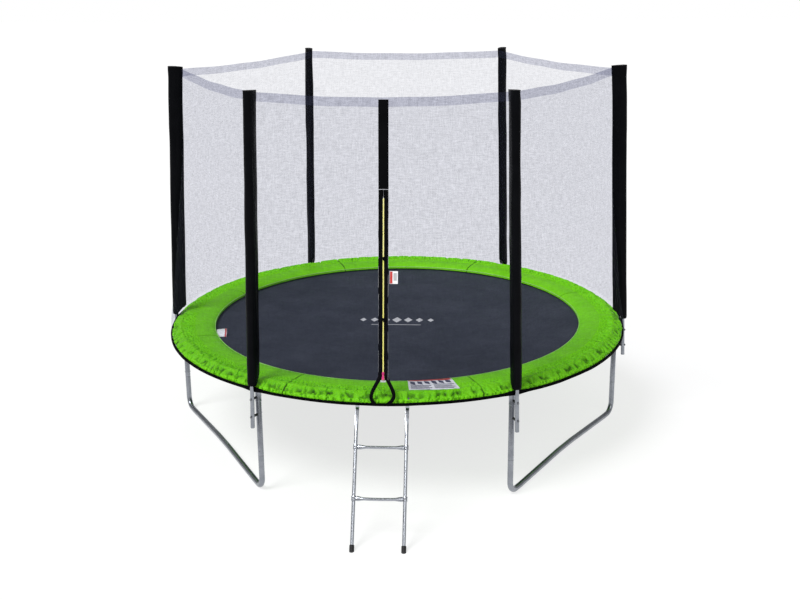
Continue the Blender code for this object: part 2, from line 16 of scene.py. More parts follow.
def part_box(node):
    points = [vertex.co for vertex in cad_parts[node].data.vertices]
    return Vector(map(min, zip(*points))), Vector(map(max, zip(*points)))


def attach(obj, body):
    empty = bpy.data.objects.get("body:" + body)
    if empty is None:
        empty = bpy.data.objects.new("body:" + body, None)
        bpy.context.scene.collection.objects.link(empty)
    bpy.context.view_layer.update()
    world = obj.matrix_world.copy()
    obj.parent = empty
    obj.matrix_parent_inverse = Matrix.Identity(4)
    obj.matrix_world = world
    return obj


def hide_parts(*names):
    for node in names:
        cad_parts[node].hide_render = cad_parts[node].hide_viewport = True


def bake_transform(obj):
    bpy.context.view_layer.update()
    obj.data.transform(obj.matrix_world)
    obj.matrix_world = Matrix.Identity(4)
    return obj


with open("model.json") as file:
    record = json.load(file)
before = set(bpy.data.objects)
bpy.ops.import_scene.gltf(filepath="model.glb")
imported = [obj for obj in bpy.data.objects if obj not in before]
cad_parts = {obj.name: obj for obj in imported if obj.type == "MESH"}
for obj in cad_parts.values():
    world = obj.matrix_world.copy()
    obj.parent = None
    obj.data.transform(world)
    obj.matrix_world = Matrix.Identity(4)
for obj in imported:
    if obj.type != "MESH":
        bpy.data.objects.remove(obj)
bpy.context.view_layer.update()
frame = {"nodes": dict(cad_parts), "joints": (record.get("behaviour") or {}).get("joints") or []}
NODES = frame["nodes"]


# ------------------------------------------------------------------ measured from the frame
def coords(node):
    """The vertices of a CAD node."""
    return np.array([v.co for v in NODES[node].data.vertices], float)


def axis_of(node):
    """The middles of the two ends of a long straight node, lower one first."""
    points = coords(node)
    middle = points.mean(0)
    along = np.linalg.svd(points - middle, full_matrices=False)[2][0]
    along = along if along[2] > 0 else -along
    reach = (points - middle) @ along
    ends = [points[reach < reach.min() + 0.002].mean(0), points[reach > reach.max() - 0.002].mean(0)]
    return [Vector(end) for end in ends]


def middle_of(node):
    """The middle of a CAD node's box."""
    low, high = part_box(node)
    return (low + high) / 2


POLES = 6
SECTOR = 360 / POLES
BED_LOW, BED_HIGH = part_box("jump_mat")
CENTRE = (BED_LOW + BED_HIGH) / 2
BED_Z = CENTRE.z
MAT_R = (BED_HIGH.x - BED_LOW.x) / 2
PAD_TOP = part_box("safety_pad")[1].z
NET_LOW, NET_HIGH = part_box("net_panel_3")
BAND_Z = NET_LOW.z
NET_TOP = NET_HIGH.z
NET_R = NET_HIGH.y - CENTRE.y - 0.0015
LEG_AXES = [axis_of(f"leg_upright_{n + 1}") for n in range(POLES)]
POLE_AXES = [axis_of(f"net_pole_{n + 1}") for n in range(POLES)]
RING_R = math.hypot(LEG_AXES[0][0].x - CENTRE.x, LEG_AXES[0][0].y - CENTRE.y)
RAIL_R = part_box("top_rail_1")[1].z - BED_Z
JOINTS = {joint["name"]: joint for joint in frame["joints"]}
CORNER = Vector(JOINTS["right_flap_hinge"]["pos_m"])
HINGE_AXIS = Vector(JOINTS["right_flap_hinge"]["axis"])
ZIP_AXIS = Vector(JOINTS["zip_slide"]["axis"])


def ring(degrees, radius, height):
    """Points round the ring's centre, for numbers or arrays."""
    angle = np.radians(degrees)
    return np.stack(np.broadcast_arrays(CENTRE.x + radius * np.sin(angle),
                                        CENTRE.y - radius * np.cos(angle), height + 0.0 * angle), -1)


def pole_at(number, height):
    """The point of a pole's axis at a height, carried on past its ends."""
    foot, top = POLE_AXES[number]
    return foot.lerp(top, (height - foot.z) / (top.z - foot.z))


def pole_ring(height):
    """Ring radius of the poles' axes at a height, for numbers or arrays."""
    foot, top = POLE_AXES[0]
    radii = [math.hypot(p.x - CENTRE.x, p.y - CENTRE.y) for p in (foot, top)]
    return radii[0] + (radii[1] - radii[0]) * (height - foot.z) / (top.z - foot.z)


# ------------------------------------------------------------------ camera and light
CAMERA_AT = (0.477, CENTRE.y - 7.684, 3.228)
LOOK_AT = (0.0, CENTRE.y, 0.9)
LENS = 52.3
ROLL = math.radians(-0.55)
SHIFT = (0.0039, -0.0138)
SENSOR = 36
PURE_WHITE = (1.0, 1.0, 1.0, 1)
WORLD_LIGHT = 0.35              # what the surroundings give; the camera sees them plain white
KEY = ((-0.62, -0.62, 1.20), 2.45, 26)      # where from, strength, spread in degrees
FILL = ((0.40, -0.95, 0.80), 0.55, 40)


def make_camera():
    """The camera at the reference view."""
    camera = bpy.data.objects.new("camera", bpy.data.cameras.new("camera"))
    bpy.context.scene.collection.objects.link(camera)
    camera.location = CAMERA_AT
    look = (Vector(LOOK_AT) - camera.location).to_track_quat("-Z", "Y").to_matrix()
    camera.rotation_euler = (look @ Matrix.Rotation(ROLL, 3, "Z")).to_euler()
    camera.data.lens = LENS
    camera.data.sensor_width = SENSOR
    camera.data.shift_x, camera.data.shift_y = SHIFT
    camera.data.clip_end = 100
    bpy.context.scene.camera = camera


def soft_sun(name, at, strength, spread):
    """A distant soft light that shines from a direction."""
    lamp = bpy.data.lights.new(name, "SUN")
    lamp.energy = strength
    lamp.angle = math.radians(spread)
    made = bpy.data.objects.new(name, lamp)
    made.rotation_euler = (-Vector(at)).to_track_quat("-Z", "Y").to_euler()
    bpy.context.scene.collection.objects.link(made)


def make_light():
    """A white surrounding, with a soft key light from the front left and a weaker one at the front right."""
    world = bpy.data.worlds.new("studio")
    world.use_nodes = True
    tree = world.node_tree
    back = tree.nodes["Background"]
    seen = node(tree, "LightPath").outputs["Is Camera Ray"]
    level = node(tree, "MapRange", {"Value": seen, "To Min": WORLD_LIGHT, "To Max": 1.0}).outputs["Result"]
    feed(tree, back, {"Strength": level, "Color": PURE_WHITE})
    bpy.context.scene.world = world
    soft_sun("key", *KEY)
    soft_sun("fill", *FILL)


bpy.context.scene.view_settings.view_transform = "Standard"
make_camera()


# ------------------------------------------------------------------ materials
FOLD_DEPTH = 0.012              # a fold this deep is in full shade
FOLD_SHADE = [(0.05, 0.12), (0.20, 0.50), (0.34, 0.86), (0.46, 0.97), (1.0, 1.0)]
KNIT_FOOT = [(0.722, 0.35), (0.742, 1.0)]   # height up the net, and the share of its thread shown there


def feed(tree, made, inputs):
    """Sets a node's inputs, each to a number or colour, or to the socket that feeds it."""
    for key, value in inputs.items():
        if isinstance(value, bpy.types.NodeSocket):
            tree.links.new(value, made.inputs[key])
        else:
            made.inputs[key].default_value = value
    return made


def node(tree, kind, inputs=None, **settings):
    """A new shader node with its inputs and settings."""
    made = tree.nodes.new("ShaderNode" + kind)
    for key, value in settings.items():
        setattr(made, key, value)
    return feed(tree, made, inputs or {})


def new_material(name):
    """A node material and its Principled shader."""
    made = bpy.data.materials.new(name)
    made.use_nodes = True
    return made, made.node_tree, made.node_tree.nodes["Principled BSDF"]


def ramp(tree, factor, stops, colors=False):
    """A colour ramp through (position, value) stops; a value is a grey, or a colour."""
    made = node(tree, "ValToRGB", {"Fac": factor})
    band = made.color_ramp
    while len(band.elements) < len(stops):
        band.elements.new(1.0)
    for element, (position, value) in zip(band.elements, stops):
        element.position = position
        element.color = (*value, 1) if colors else (value, value, value, 1)
    return made.outputs["Color"]


def noise_of(tree, where, scale, detail=3.0, stretch=None, rough=0.55):
    """A noise value at a scale, stretched along some directions."""
    if stretch:
        where = node(tree, "Mapping", {"Vector": where, "Scale": stretch}).outputs["Vector"]
    return node(tree, "TexNoise", {"Vector": where, "Scale": scale, "Detail": detail,
                                   "Roughness": rough}).outputs["Fac"]


def math_of(tree, operation, *values):
    """The result of a Math node."""
    return node(tree, "Math", dict(enumerate(values)), operation=operation).outputs[0]


def shares_of(tree, first, share, second, other):
    """Two values added together, each in its share."""
    return math_of(tree, "ADD", math_of(tree, "MULTIPLY", first, share),
                   math_of(tree, "MULTIPLY", second, other))


def waves(tree, where, pitch, directions=(0, 1)):
    """Rounded threads along the coordinates of a cloth, one for each pitch."""
    parts = node(tree, "SeparateXYZ", {"Vector": where}).outputs
    return [math_of(tree, "SINE", math_of(tree, "MULTIPLY", parts[d], 2 * math.pi / pitch))
            for d in directions]


def bump(tree, height, distance, strength=1.0, under=None):
    """A bump from a height value, over another bump if there is one."""
    inputs = {"Height": height, "Distance": distance, "Strength": strength}
    if under:
        inputs["Normal"] = under
    return node(tree, "Bump", inputs).outputs["Normal"]


def steel(name, dark, light, rough, grain=0.00002):
    """Zinc-coated steel: cloudy spangle, fine drawn streaks and a slightly uneven gloss."""
    made, tree, shader = new_material(name)
    where = node(tree, "TexCoord").outputs["Object"]
    cloud = noise_of(tree, where, 22, 4)
    fine = noise_of(tree, where, 260, 2)
    both = shares_of(tree, cloud, 0.75, fine, 0.25)
    feed(tree, shader, {"Base Color": ramp(tree, both, [(0.30, dark), (0.70, light)], True),
                        "Roughness": ramp(tree, cloud, [(0.3, rough + 0.05), (0.7, rough - 0.03)]),
                        "Normal": bump(tree, fine, grain, 0.3), "Metallic": 1.0})
    return made


def sheet_cloth(name, dark, light, rough, pitch, creases, crease_depth, gloss=0.5, fibre=0.15, clouds=9):
    """Woven or coated cloth: threads at their pitch, faint creases, clouded colour."""
    made, tree, shader = new_material(name)
    where = node(tree, "TexCoord").outputs["UV"]
    solid = node(tree, "TexCoord").outputs["Object"]
    across, along = waves(tree, where, pitch)
    weave = math_of(tree, "MULTIPLY", across, along)
    cloud = noise_of(tree, solid, clouds, 5)
    crease = noise_of(tree, solid, 1.0, 4, creases)
    shade = shares_of(tree, cloud, 1 - fibre, weave, fibre)
    folds = bump(tree, crease, crease_depth, 0.8)
    feed(tree, shader, {"Base Color": ramp(tree, shade, [(0.25, dark), (0.75, light)], True),
                        "Roughness": ramp(tree, crease, [(0.3, rough + 0.07), (0.7, rough - 0.07)]),
                        "Normal": bump(tree, weave, pitch * 0.12, 0.5, folds),
                        "Specular IOR Level": gloss})
    return made


def gathered_cloth(name, dark, light):
    """Coated cloth of the pad: a weave and clouded colour, with painted shade that darkens it in its folds,
    seam grooves and skirt.
    """
    made = sheet_cloth(name, dark, light, 0.42, 0.0022, (16, 16, 30), 0.0014, 0.14)
    tree = made.node_tree
    shader = tree.nodes["Principled BSDF"]
    plain = shader.inputs["Base Color"].links[0].from_socket
    # painted shade: the stored fold value darkens the base colour where the cover sinks in
    fold = node(tree, "Attribute", attribute_name="fold").outputs["Fac"]
    limits = {"Value": fold, "From Min": -FOLD_DEPTH, "From Max": FOLD_DEPTH}
    shade = ramp(tree, node(tree, "MapRange", limits).outputs["Result"], FOLD_SHADE)
    deep = node(tree, "Mix", data_type="RGBA", blend_type="MULTIPLY")
    feed(tree, deep, {"Factor": 1.0, "A": plain, "B": shade})
    feed(tree, shader, {"Base Color": deep.outputs["Result"]})
    return made


def plastic(name, dark, light, rough, bumpy=0.0002):
    """Moulded plastic: nearly even colour over a fine grain."""
    made, tree, shader = new_material(name)
    where = node(tree, "TexCoord").outputs["Object"]
    grain = noise_of(tree, where, 900, 2)
    cloud = noise_of(tree, where, 40, 3)
    feed(tree, shader, {"Base Color": ramp(tree, cloud, [(0.3, dark), (0.7, light)], True),
                        "Roughness": ramp(tree, cloud, [(0.3, rough + 0.05), (0.7, rough - 0.05)]),
                        "Normal": bump(tree, grain, bumpy, 0.5)})
    return made


def knit(name, color, tint, cover, cell, ripple):
    """See-through knitted net: thin thread over open holes, whose rows bunch up here and there."""
    made, tree, shader = new_material(name)
    where = node(tree, "TexCoord").outputs["UV"]
    across, along = waves(tree, where, cell)
    threads = math_of(tree, "MAXIMUM", math_of(tree, "ABSOLUTE", across), math_of(tree, "ABSOLUTE", along))
    thread = ramp(tree, threads, [(0.80, 0.0), (0.97, 1.0)])
    rows = noise_of(tree, where, 1.0, 3, (20, 110, 1))
    columns = noise_of(tree, where, 1.0, 3, (110, 16, 1))
    speck = noise_of(tree, where, 120, 2)
    bunch = math_of(tree, "MULTIPLY_ADD", speck, 0.26, shares_of(tree, rows, 0.40, columns, 0.34))
    level = ramp(tree, bunch, [(0.40, cover - ripple), (0.60, cover + ripple)])
    share = math_of(tree, "MULTIPLY_ADD", thread, 0.12, level)
    height = node(tree, "SeparateXYZ", {"Vector": where}).outputs["Y"]
    share = math_of(tree, "MULTIPLY", share, ramp(tree, height, KNIT_FOOT))
    grain = noise_of(tree, where, 400, 2)
    shades = [(0.3, tuple(c * 0.9 for c in color)), (0.7, color)]
    feed(tree, shader, {"Base Color": ramp(tree, grain, shades, True),
                        "Normal": bump(tree, threads, 0.0004, 0.6),
                        "Roughness": 0.8, "Specular IOR Level": 0.1})
    holes = node(tree, "BsdfTransparent", {"Color": (*tint, 1)}).outputs[0]
    both = node(tree, "MixShader", {0: share, 1: holes, 2: shader.outputs[0]}).outputs[0]
    feed(tree, tree.nodes["Material Output"], {"Surface": both})
    return made


make_light()
STEEL = steel("galvanised", (0.22, 0.235, 0.265), (0.33, 0.345, 0.38), 0.27)
BRIGHT = steel("bright_zinc", (0.36, 0.38, 0.42), (0.44, 0.46, 0.50), 0.23, 0.000004)
ZINC = steel("dull_zinc", (0.16, 0.165, 0.18), (0.26, 0.27, 0.29), 0.42)
GREEN = gathered_cloth("pad_green", (0.177, 0.655, 0.005), (0.238, 0.790, 0.011))
# a lighter green piping: a painted highlight along the pad's inner edge
PIPING_HIGHLIGHT = sheet_cloth("pad_piping_highlight", (0.36, 0.72, 0.16), (0.46, 0.84, 0.24), 0.45, 0.0015, (40, 40, 40), 0.0006)
SLEEVE = sheet_cloth("sleeve_black", (0.0018, 0.0020, 0.0028), (0.0040, 0.0043, 0.0058), 0.36, 0.0018,
                     (28, 28, 7), 0.0024, 0.035)
WEAVE = sheet_cloth("mat_weave", (0.034, 0.040, 0.055), (0.074, 0.082, 0.108), 0.60, 0.0030,
                    (3, 3, 3), 0.0006, 0.08, 0.3, 5)
WEBBING = sheet_cloth("black_webbing", (0.0015, 0.0016, 0.0021), (0.0040, 0.0041, 0.0050), 0.6, 0.0015,
                      (40, 40, 40), 0.0008, 0.03)
NET = knit("net_knit", (0.011, 0.013, 0.024), (0.958, 0.963, 1.0), 0.110, 0.0040, 0.090)
HEM = knit("net_hem", (0.026, 0.029, 0.054), (0.860, 0.872, 0.975), 0.30, 0.0030, 0.12)
RUBBER = plastic("black_moulded", (0.003, 0.003, 0.004), (0.006, 0.006, 0.007), 0.65)
MAGENTA = plastic("slider_magenta", (0.55, 0.02, 0.16), (0.68, 0.04, 0.22), 0.35)
TEETH = plastic("zip_teeth", (0.90, 0.84, 0.17), (0.97, 0.92, 0.30), 0.45)
INK = plastic("dark_print", (0.055, 0.060, 0.110), (0.085, 0.090, 0.150), 0.60)
WHITE = plastic("label_white", (0.84, 0.85, 0.88), (0.92, 0.93, 0.95), 0.5)
RED = plastic("label_red", (0.50, 0.03, 0.03), (0.58, 0.05, 0.04), 0.5)
GREY = plastic("label_grey", (0.40, 0.41, 0.42), (0.50, 0.51, 0.52), 0.5)
MARK = plastic("mat_print", (0.55, 0.56, 0.58), (0.68, 0.69, 0.70), 0.6)


# ------------------------------------------------------------------ mesh helpers
def new_object(name, verts, faces, surface, uvs=None, smooth=True):
    """An object from vertices and faces, with a UV for each vertex if given."""
    mesh = bpy.data.meshes.new(name)
    mesh.from_pydata([tuple(v) for v in verts], [], [tuple(int(i) for i in f) for f in faces])
    mesh.update()
    if uvs is not None:
        layer = mesh.uv_layers.new(name="UVMap")
        corner = np.zeros(len(mesh.loops), np.int32)
        mesh.loops.foreach_get("vertex_index", corner)
        layer.data.foreach_set("uv", np.asarray(uvs, np.float32)[corner].ravel())
    for item in surface if isinstance(surface, (list, tuple)) else [surface]:
        mesh.materials.append(item)
    if smooth:
        mesh.shade_smooth()
    made = bpy.data.objects.new(name, mesh)
    bpy.context.scene.collection.objects.link(made)
    return made


def lattice(rows, columns, wrap_rows=False, wrap_columns=False, start=0):
    """The quads of a grid of vertices, row by row."""
    last_row = rows if wrap_rows else rows - 1
    last_column = columns if wrap_columns else columns - 1
    r, c = np.meshgrid(np.arange(last_row), np.arange(last_column), indexing="ij")
    r2, c2 = (r + 1) % rows, (c + 1) % columns
    quads = np.stack([r * columns + c, r * columns + c2, r2 * columns + c2, r2 * columns + c], -1)
    return quads.reshape(-1, 4) + start


def lengths(points):
    """Distance run along the first direction of a grid of points."""
    steps = np.linalg.norm(np.diff(points, axis=0), axis=-1)
    return np.concatenate([np.zeros((1, points.shape[1])), np.cumsum(steps, 0)])


def turns(count):
    """Evenly spaced angles all the way round."""
    return np.linspace(0, 2 * math.pi, count, endpoint=False)


def grid_of(rows):
    """Rows of points as one array."""
    return np.array([[tuple(p) for p in row] for row in rows], float)


def closed(name, rows_of_points, surface):
    """A closed form from loops of points, one loop for each row, with capped ends."""
    points = grid_of(rows_of_points)
    rows, columns = points.shape[:2]
    faces = [list(f) for f in lattice(rows, columns, wrap_columns=True)]
    faces.append(list(range(columns))[::-1])
    faces.append([(rows - 1) * columns + i for i in range(columns)])
    loop = np.concatenate([points, points[:, :1]], 1)
    around = lengths(loop.transpose(1, 0, 2)).T[:, :columns]
    uvs = np.stack([around, lengths(points)], -1).reshape(-1, 2)
    made = new_object(name, points.reshape(-1, 3), faces, surface, uvs)
    made.data.set_sharp_from_angle(angle=math.radians(50))
    mend(made)
    return made


def mend(made, merge=0.0):
    """Turns a closed mesh's faces out or, given a distance, merges points closer together than that."""
    builder = bmesh.new()
    builder.from_mesh(made.data)
    if merge:
        bmesh.ops.remove_doubles(builder, verts=builder.verts, dist=merge)
    else:
        bmesh.ops.recalc_face_normals(builder, faces=builder.faces)
    builder.to_mesh(made.data)
    builder.free()


def sweep(name, path, section, surface, loop=False, up=(0, 0, 1), scales=None):
    """A section of (side, up) points carried along a path, its up direction kept near the given one."""
    path = np.array([tuple(p) for p in path], float)
    if loop:
        tangent = np.roll(path, -1, 0) - np.roll(path, 1, 0)
    else:
        tangent = np.gradient(path, axis=0)
    tangent /= np.linalg.norm(tangent, axis=1, keepdims=True)
    side = np.cross(tangent, np.array(up, float))
    side /= np.linalg.norm(side, axis=1, keepdims=True)
    upward = np.cross(side, tangent)
    section = np.array(section, float)
    size = np.ones(len(path)) if scales is None else np.array(scales, float)
    points = (path[:, None] + side[:, None] * (section[None, :, :1] * size[:, None, None])
              + upward[:, None] * (section[None, :, 1:] * size[:, None, None]))
    if loop:
        points = np.concatenate([points, points[:1]])
        rows, columns = points.shape[:2]
        faces = lattice(rows - 1, columns, wrap_rows=True, wrap_columns=True)
        uvs = np.zeros((rows - 1, columns, 2))
        uvs[..., 1] = lengths(points)[:-1]
        uvs[..., 0] = np.linspace(0, np.abs(section).sum() / len(section) * 6, columns)
        made = new_object(name, points[:-1].reshape(-1, 3), faces, surface, uvs.reshape(-1, 2))
        mend(made)
        return made
    return closed(name, points, surface)


def disc(radius, sides=20):
    """A round section."""
    return np.stack([np.cos(turns(sides)), np.sin(turns(sides))], -1) * radius


def slab_section(width, thickness, bulge=0.35):
    """A flat section with soft edges."""
    half, edge = width / 2, thickness / 2
    return [(-half, -edge * bulge), (-half + edge, -edge), (half - edge, -edge), (half, -edge * bulge),
            (half, edge * bulge), (half - edge, edge), (-half + edge, edge), (-half, edge * bulge)]


def join(name, made):
    """Several objects as one."""
    target = made[0]
    with bpy.context.temp_override(active_object=target, selected_editable_objects=made,
                                   selected_objects=made, object=target):
        bpy.ops.object.join()
    target.name = name
    return target


def lathe(name, start, direction, profile, surface, sides=24):
    """A turned form about an axis; the profile is (distance along it, radius)."""
    along = Vector(direction).normalized()
    side = along.orthogonal().normalized()
    other = along.cross(side)
    rows = []
    for reach, radius in profile:
        middle = Vector(start) + along * reach
        rows.append([middle + (side * math.cos(t) + other * math.sin(t)) * radius for t in turns(sides)])
    return closed(name, rows, surface)


NOISE_CELLS = 97                # a random field repeats after this many cells


def value_noise(x, y, seed):
    """A smooth random field from -1 to 1 with one random value per unit cell."""
    count = NOISE_CELLS
    table = np.random.default_rng(seed).uniform(-1, 1, (count, count))
    x0, y0 = np.floor(x).astype(int), np.floor(y).astype(int)
    fx, fy = x - x0, y - y0
    fx, fy = fx * fx * (3 - 2 * fx), fy * fy * (3 - 2 * fy)
    x1, y1 = (x0 + 1) % count, (y0 + 1) % count
    x0, y0 = x0 % count, y0 % count
    near = table[x0, y0] * (1 - fx) + table[x1, y0] * fx
    far = table[x0, y1] * (1 - fx) + table[x1, y1] * fx
    return near * (1 - fy) + far * fy


def ridge(x, y, seed):
    """Sharp crests between rounded valleys."""
    return 1 - 2 * np.abs(value_noise(x, y, seed))


def smooth(t):
    """0 below 0, 1 above 1, and an S between."""
    t = np.clip(t, 0, 1)
    return t * t * (3 - 2 * t)


def finish_piece(piece, body, slot, *replaced):
    """The usual end of a piece: what it moves with, and the nodes it stands for; the slot is not used."""
    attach(piece, body)
    if replaced:
        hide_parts(*replaced)
    return piece


# ------------------------------------------------------------------ steel frame
LEG_LOW, LEG_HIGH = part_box("leg_upright_1")
LEG_R = (LEG_HIGH.x - LEG_LOW.x) / 2
LEG_TOP = LEG_HIGH.z
BASE_TOP = LEG_LOW.z
SOCKET_R = LEG_R + 0.001
SOCKET_LIP = 0.0008
WELD_R = 0.0028
POLE_R = 0.0125
POLE_BORE = 0.0110
BASE_BEND = 0.070               # bend radius at the foot of a leg
BASE_FLAT = 0.060               # level stretch that stands on the ground
BASE_RISE = 0.020               # how far the middle of a base is lifted
BASE_CREST = 0.100              # half length of the lifted middle
BASE_EASE = 1.2                 # bend radius of its gentle bends
SCREW_HEIGHT = 0.034            # of the locking screws up a leg
SCREW_TURN = 0.35               # radians from the way out
WASHER = [(0, 0.0078), (0.0011, 0.0078)]
ROUND = 28                      # sides of a smooth tube


def outward_of(number):
    """The level direction out from the centre at a pole."""
    foot = POLE_AXES[number][0]
    return Vector((foot.x - CENTRE.x, foot.y - CENTRE.y, 0)).normalized()


def bent(corners, radii, steps=9):
    """A path through corners, each inner one rounded to its radius."""
    corners = [Vector(c) for c in corners]
    path = [corners[0]]
    for before, corner, after, radius in zip(corners, corners[1:], corners[2:], radii):
        back, on = (before - corner).normalized(), (after - corner).normalized()
        half = back.angle(on) / 2
        middle = corner + (back + on).normalized() * (radius / math.sin(half))
        first = corner + back * (radius / math.tan(half)) - middle
        last = corner + on * (radius / math.tan(half)) - middle
        sweep_angle = first.angle(last)
        for step in range(steps + 1):
            share = step / steps
            both = first * math.sin((1 - share) * sweep_angle) + last * math.sin(share * sweep_angle)
            path.append(middle + both / math.sin(sweep_angle))
    path.append(corners[-1])
    return path


def make_rail(number):
    """A curved top rail, its welded socket, the bead of the weld and the swage at its end."""
    angle = SECTOR * (number + 0.5) - 180
    half = SECTOR / 2 - 0.02
    arc = np.linspace(angle - half, angle + half, 61)
    rail = sweep("rail", ring(arc, RING_R, BED_Z), disc(RAIL_R, ROUND), STEEL)
    leg = LEG_AXES[number][1]
    top = Vector((leg.x, leg.y, BED_Z))
    drop = BED_Z - LEG_TOP
    lip = SOCKET_R + SOCKET_LIP
    socket = lathe("socket", top, (0, 0, -1),
                   [(0.004, SOCKET_R), (drop - 0.006, SOCKET_R), (drop - 0.005, lip),
                    (drop - 0.001, lip), (drop, SOCKET_R - 0.0005)], STEEL)
    bead = []
    for turn in turns(48):
        side = Vector((math.cos(turn), math.sin(turn), 0)) * SOCKET_R
        across = side.dot(outward_of(number))
        bead.append(top + side - Vector((0, 0, math.sqrt(max(RAIL_R ** 2 - across ** 2, 0.00001)))))
    weld = sweep("weld", bead, disc(WELD_R, 8), STEEL, loop=True)
    neck = sweep("neck", ring(arc[-5:], RING_R, BED_Z), disc(RAIL_R + 0.0007, ROUND), STEEL)
    whole = join(f"rail_{number + 1}", [rail, socket, weld, neck])
    finish_piece(whole, "frame", "galvanised_steel", f"top_rail_{number + 1}")


def make_upright(number):
    """A leg's straight tube, with the crimped ring at its foot and its locking screws."""
    low, high = LEG_AXES[number]
    length = high.z - low.z
    tube = lathe("tube", low, (0, 0, 1),
                 [(0, LEG_R - 0.0006), (0.0008, LEG_R), (0.010, LEG_R), (0.012, LEG_R + 0.0005),
                  (0.016, LEG_R + 0.0005), (0.018, LEG_R), (length - 0.001, LEG_R),
                  (length, LEG_R - 0.0008)], STEEL, ROUND)
    screws = []
    for side in (SCREW_TURN, math.pi + SCREW_TURN):
        direction = Matrix.Rotation(side, 3, "Z") @ outward_of(number)
        at = low + Vector((0, 0, SCREW_HEIGHT)) + direction * (LEG_R - 0.001)
        screws.append(lathe("screw", at, direction,
                            [(0, 0.0042), (0.0014, 0.0042), (0.0026, 0.0034), (0.0032, 0.0018),
                             (0.0032, 0.0010), (0.0020, 0.0008)], ZINC, 14))
    finish_piece(join(f"upright_{number + 1}", [tube, *screws]), "frame", "galvanised_steel",
                 f"leg_upright_{number + 1}")


def make_base(number, first, second):
    """The bent tube that joins the feet of two legs along the ground."""
    a, b = LEG_AXES[first][0], LEG_AXES[second][0]
    along = (b - a).normalized()
    up = Vector((0, 0, 1))
    ground = LEG_R - BASE_TOP
    middle = (a + b) / 2 + up * (ground + BASE_RISE)
    corners = [a - up * 0.0006, a + up * ground, a + up * ground + along * (BASE_BEND + BASE_FLAT),
               middle - along * BASE_CREST, middle + along * BASE_CREST,
               b + up * ground - along * (BASE_BEND + BASE_FLAT), b + up * ground, b - up * 0.0006]
    path = bent(corners, [BASE_BEND, *[BASE_EASE] * 4, BASE_BEND], 12)
    across = along.cross(up)
    made = sweep(f"base_{number}", path, disc(LEG_R, ROUND), STEEL, up=across)
    finish_piece(made, "frame", "galvanised_steel", f"leg_base_{number}")


def make_pole(number):
    """A net pole: a bright tube, open at its lower end."""
    foot, top = POLE_AXES[number]
    length = (top - foot).length
    made = lathe(f"pole_{number + 1}", foot, top - foot,
                 [(0.060, POLE_BORE), (0.001, POLE_BORE), (0, POLE_BORE + 0.0004), (0, POLE_R - 0.0004),
                  (0.0006, POLE_R), (length, POLE_R)], STEEL, ROUND)
    finish_piece(made, "frame", "galvanised_steel", f"net_pole_{number + 1}")


def make_bolt(number, label):
    """A bolt through leg and pole: domed hexagon head, washers, spacer and lock nut."""
    node_name = f"{label}_bolt_{number + 1}"
    height = middle_of(node_name).z
    out = outward_of(number)
    leg = LEG_AXES[number][0].copy()
    leg.z = height
    pole = pole_at(number, height)
    leg_r = SOCKET_R if label == "upper" else LEG_R
    reach = (pole - leg).dot(out)
    outer = leg + out * (reach + POLE_R)
    washer = WASHER[1][0]
    parts = [lathe("washer", outer, out, WASHER, ZINC, 20),
             lathe("head", outer + out * washer, out, [(0, 0.0064), (0.0034, 0.0064), (0.0046, 0.0050)],
                   ZINC, 6),
             lathe("spacer", leg + out * (leg_r - 0.001), out,
                   [(0, 0.0070), (0.001, 0.0076), (reach - POLE_R - leg_r + 0.001, 0.0076),
                    (reach - POLE_R - leg_r + 0.002, 0.0070)], RUBBER, 20),
             lathe("inner_washer", leg - out * leg_r, -out, WASHER, ZINC, 20),
             lathe("nut", leg - out * (leg_r + washer), -out,
                   [(0, 0.0062), (0.0045, 0.0062), (0.0058, 0.0048)], ZINC, 6),
             lathe("end", leg - out * (leg_r + 0.005), -out,
                   [(0, 0.0029), (0.0035, 0.0029), (0.0040, 0.0024)], ZINC, 12)]
    whole = join(f"{label}_fixing_{number + 1}", parts)
    finish_piece(whole, "frame", "zinc_fastener", node_name)


for pole_number in range(POLES):
    make_rail(pole_number)
    make_upright(pole_number)
    make_pole(pole_number)
    make_bolt(pole_number, "upper")
    make_bolt(pole_number, "lower")
for base_number, (first_leg, second_leg) in enumerate(((1, 2), (3, 4), (5, 0)), start=1):
    make_base(base_number, first_leg, second_leg)


# ------------------------------------------------------------------ bed: mat in wedges, with its springs
WEDGES = 20
WEDGE_COLUMNS = 12
SPRINGS = 60
HOLD_R = 0.30                   # the mat moves as one inside this radius
MIDDLE_RADII = (0.02, 0.1, 0.2, HOLD_R)
MAT_T = 0.0030
HEM_T = 0.0055
HEM_WIDTH = 0.035
COIL_R = 0.0075
WIRE_R = 0.0016
COIL = (1.328, 1.455)           # ring radii of a coil's two ends
COIL_TURNS = 24
# A spring's two hooks, as (ring radius, sideways, height over the bed).
INNER_HOOK = [(COIL[0] - 0.014, 0, -0.004), (COIL[0] - 0.018, 0, 0.001), (COIL[0] - 0.014, 0, 0.005),
              (COIL[0] - 0.004, 0, 0.006)]
OUTER_HOOK = [(COIL[1] + 0.010, 0, 0.010), (RING_R - RAIL_R - 0.001, 0, 0.0165),
              (RING_R - 0.012, 0, 0.0230), (RING_R - 0.003, 0, 0.0235), (RING_R, 0, 0.017)]
VEE_R = 0.0019                  # wire of the ring that joins a spring to the mat
VEE = [(MAT_R - 0.008, 0.012, 0.001), (MAT_R + 0.002, 0.014, 0), (COIL[0] - 0.013, 0.003, 0)]


def mat_thickness(radius):
    """Half thickness of the mat, which is doubled at its hem."""
    return (MAT_T + (HEM_T - MAT_T) * smooth((radius - MAT_R + HEM_WIDTH) / 0.002)) / 2


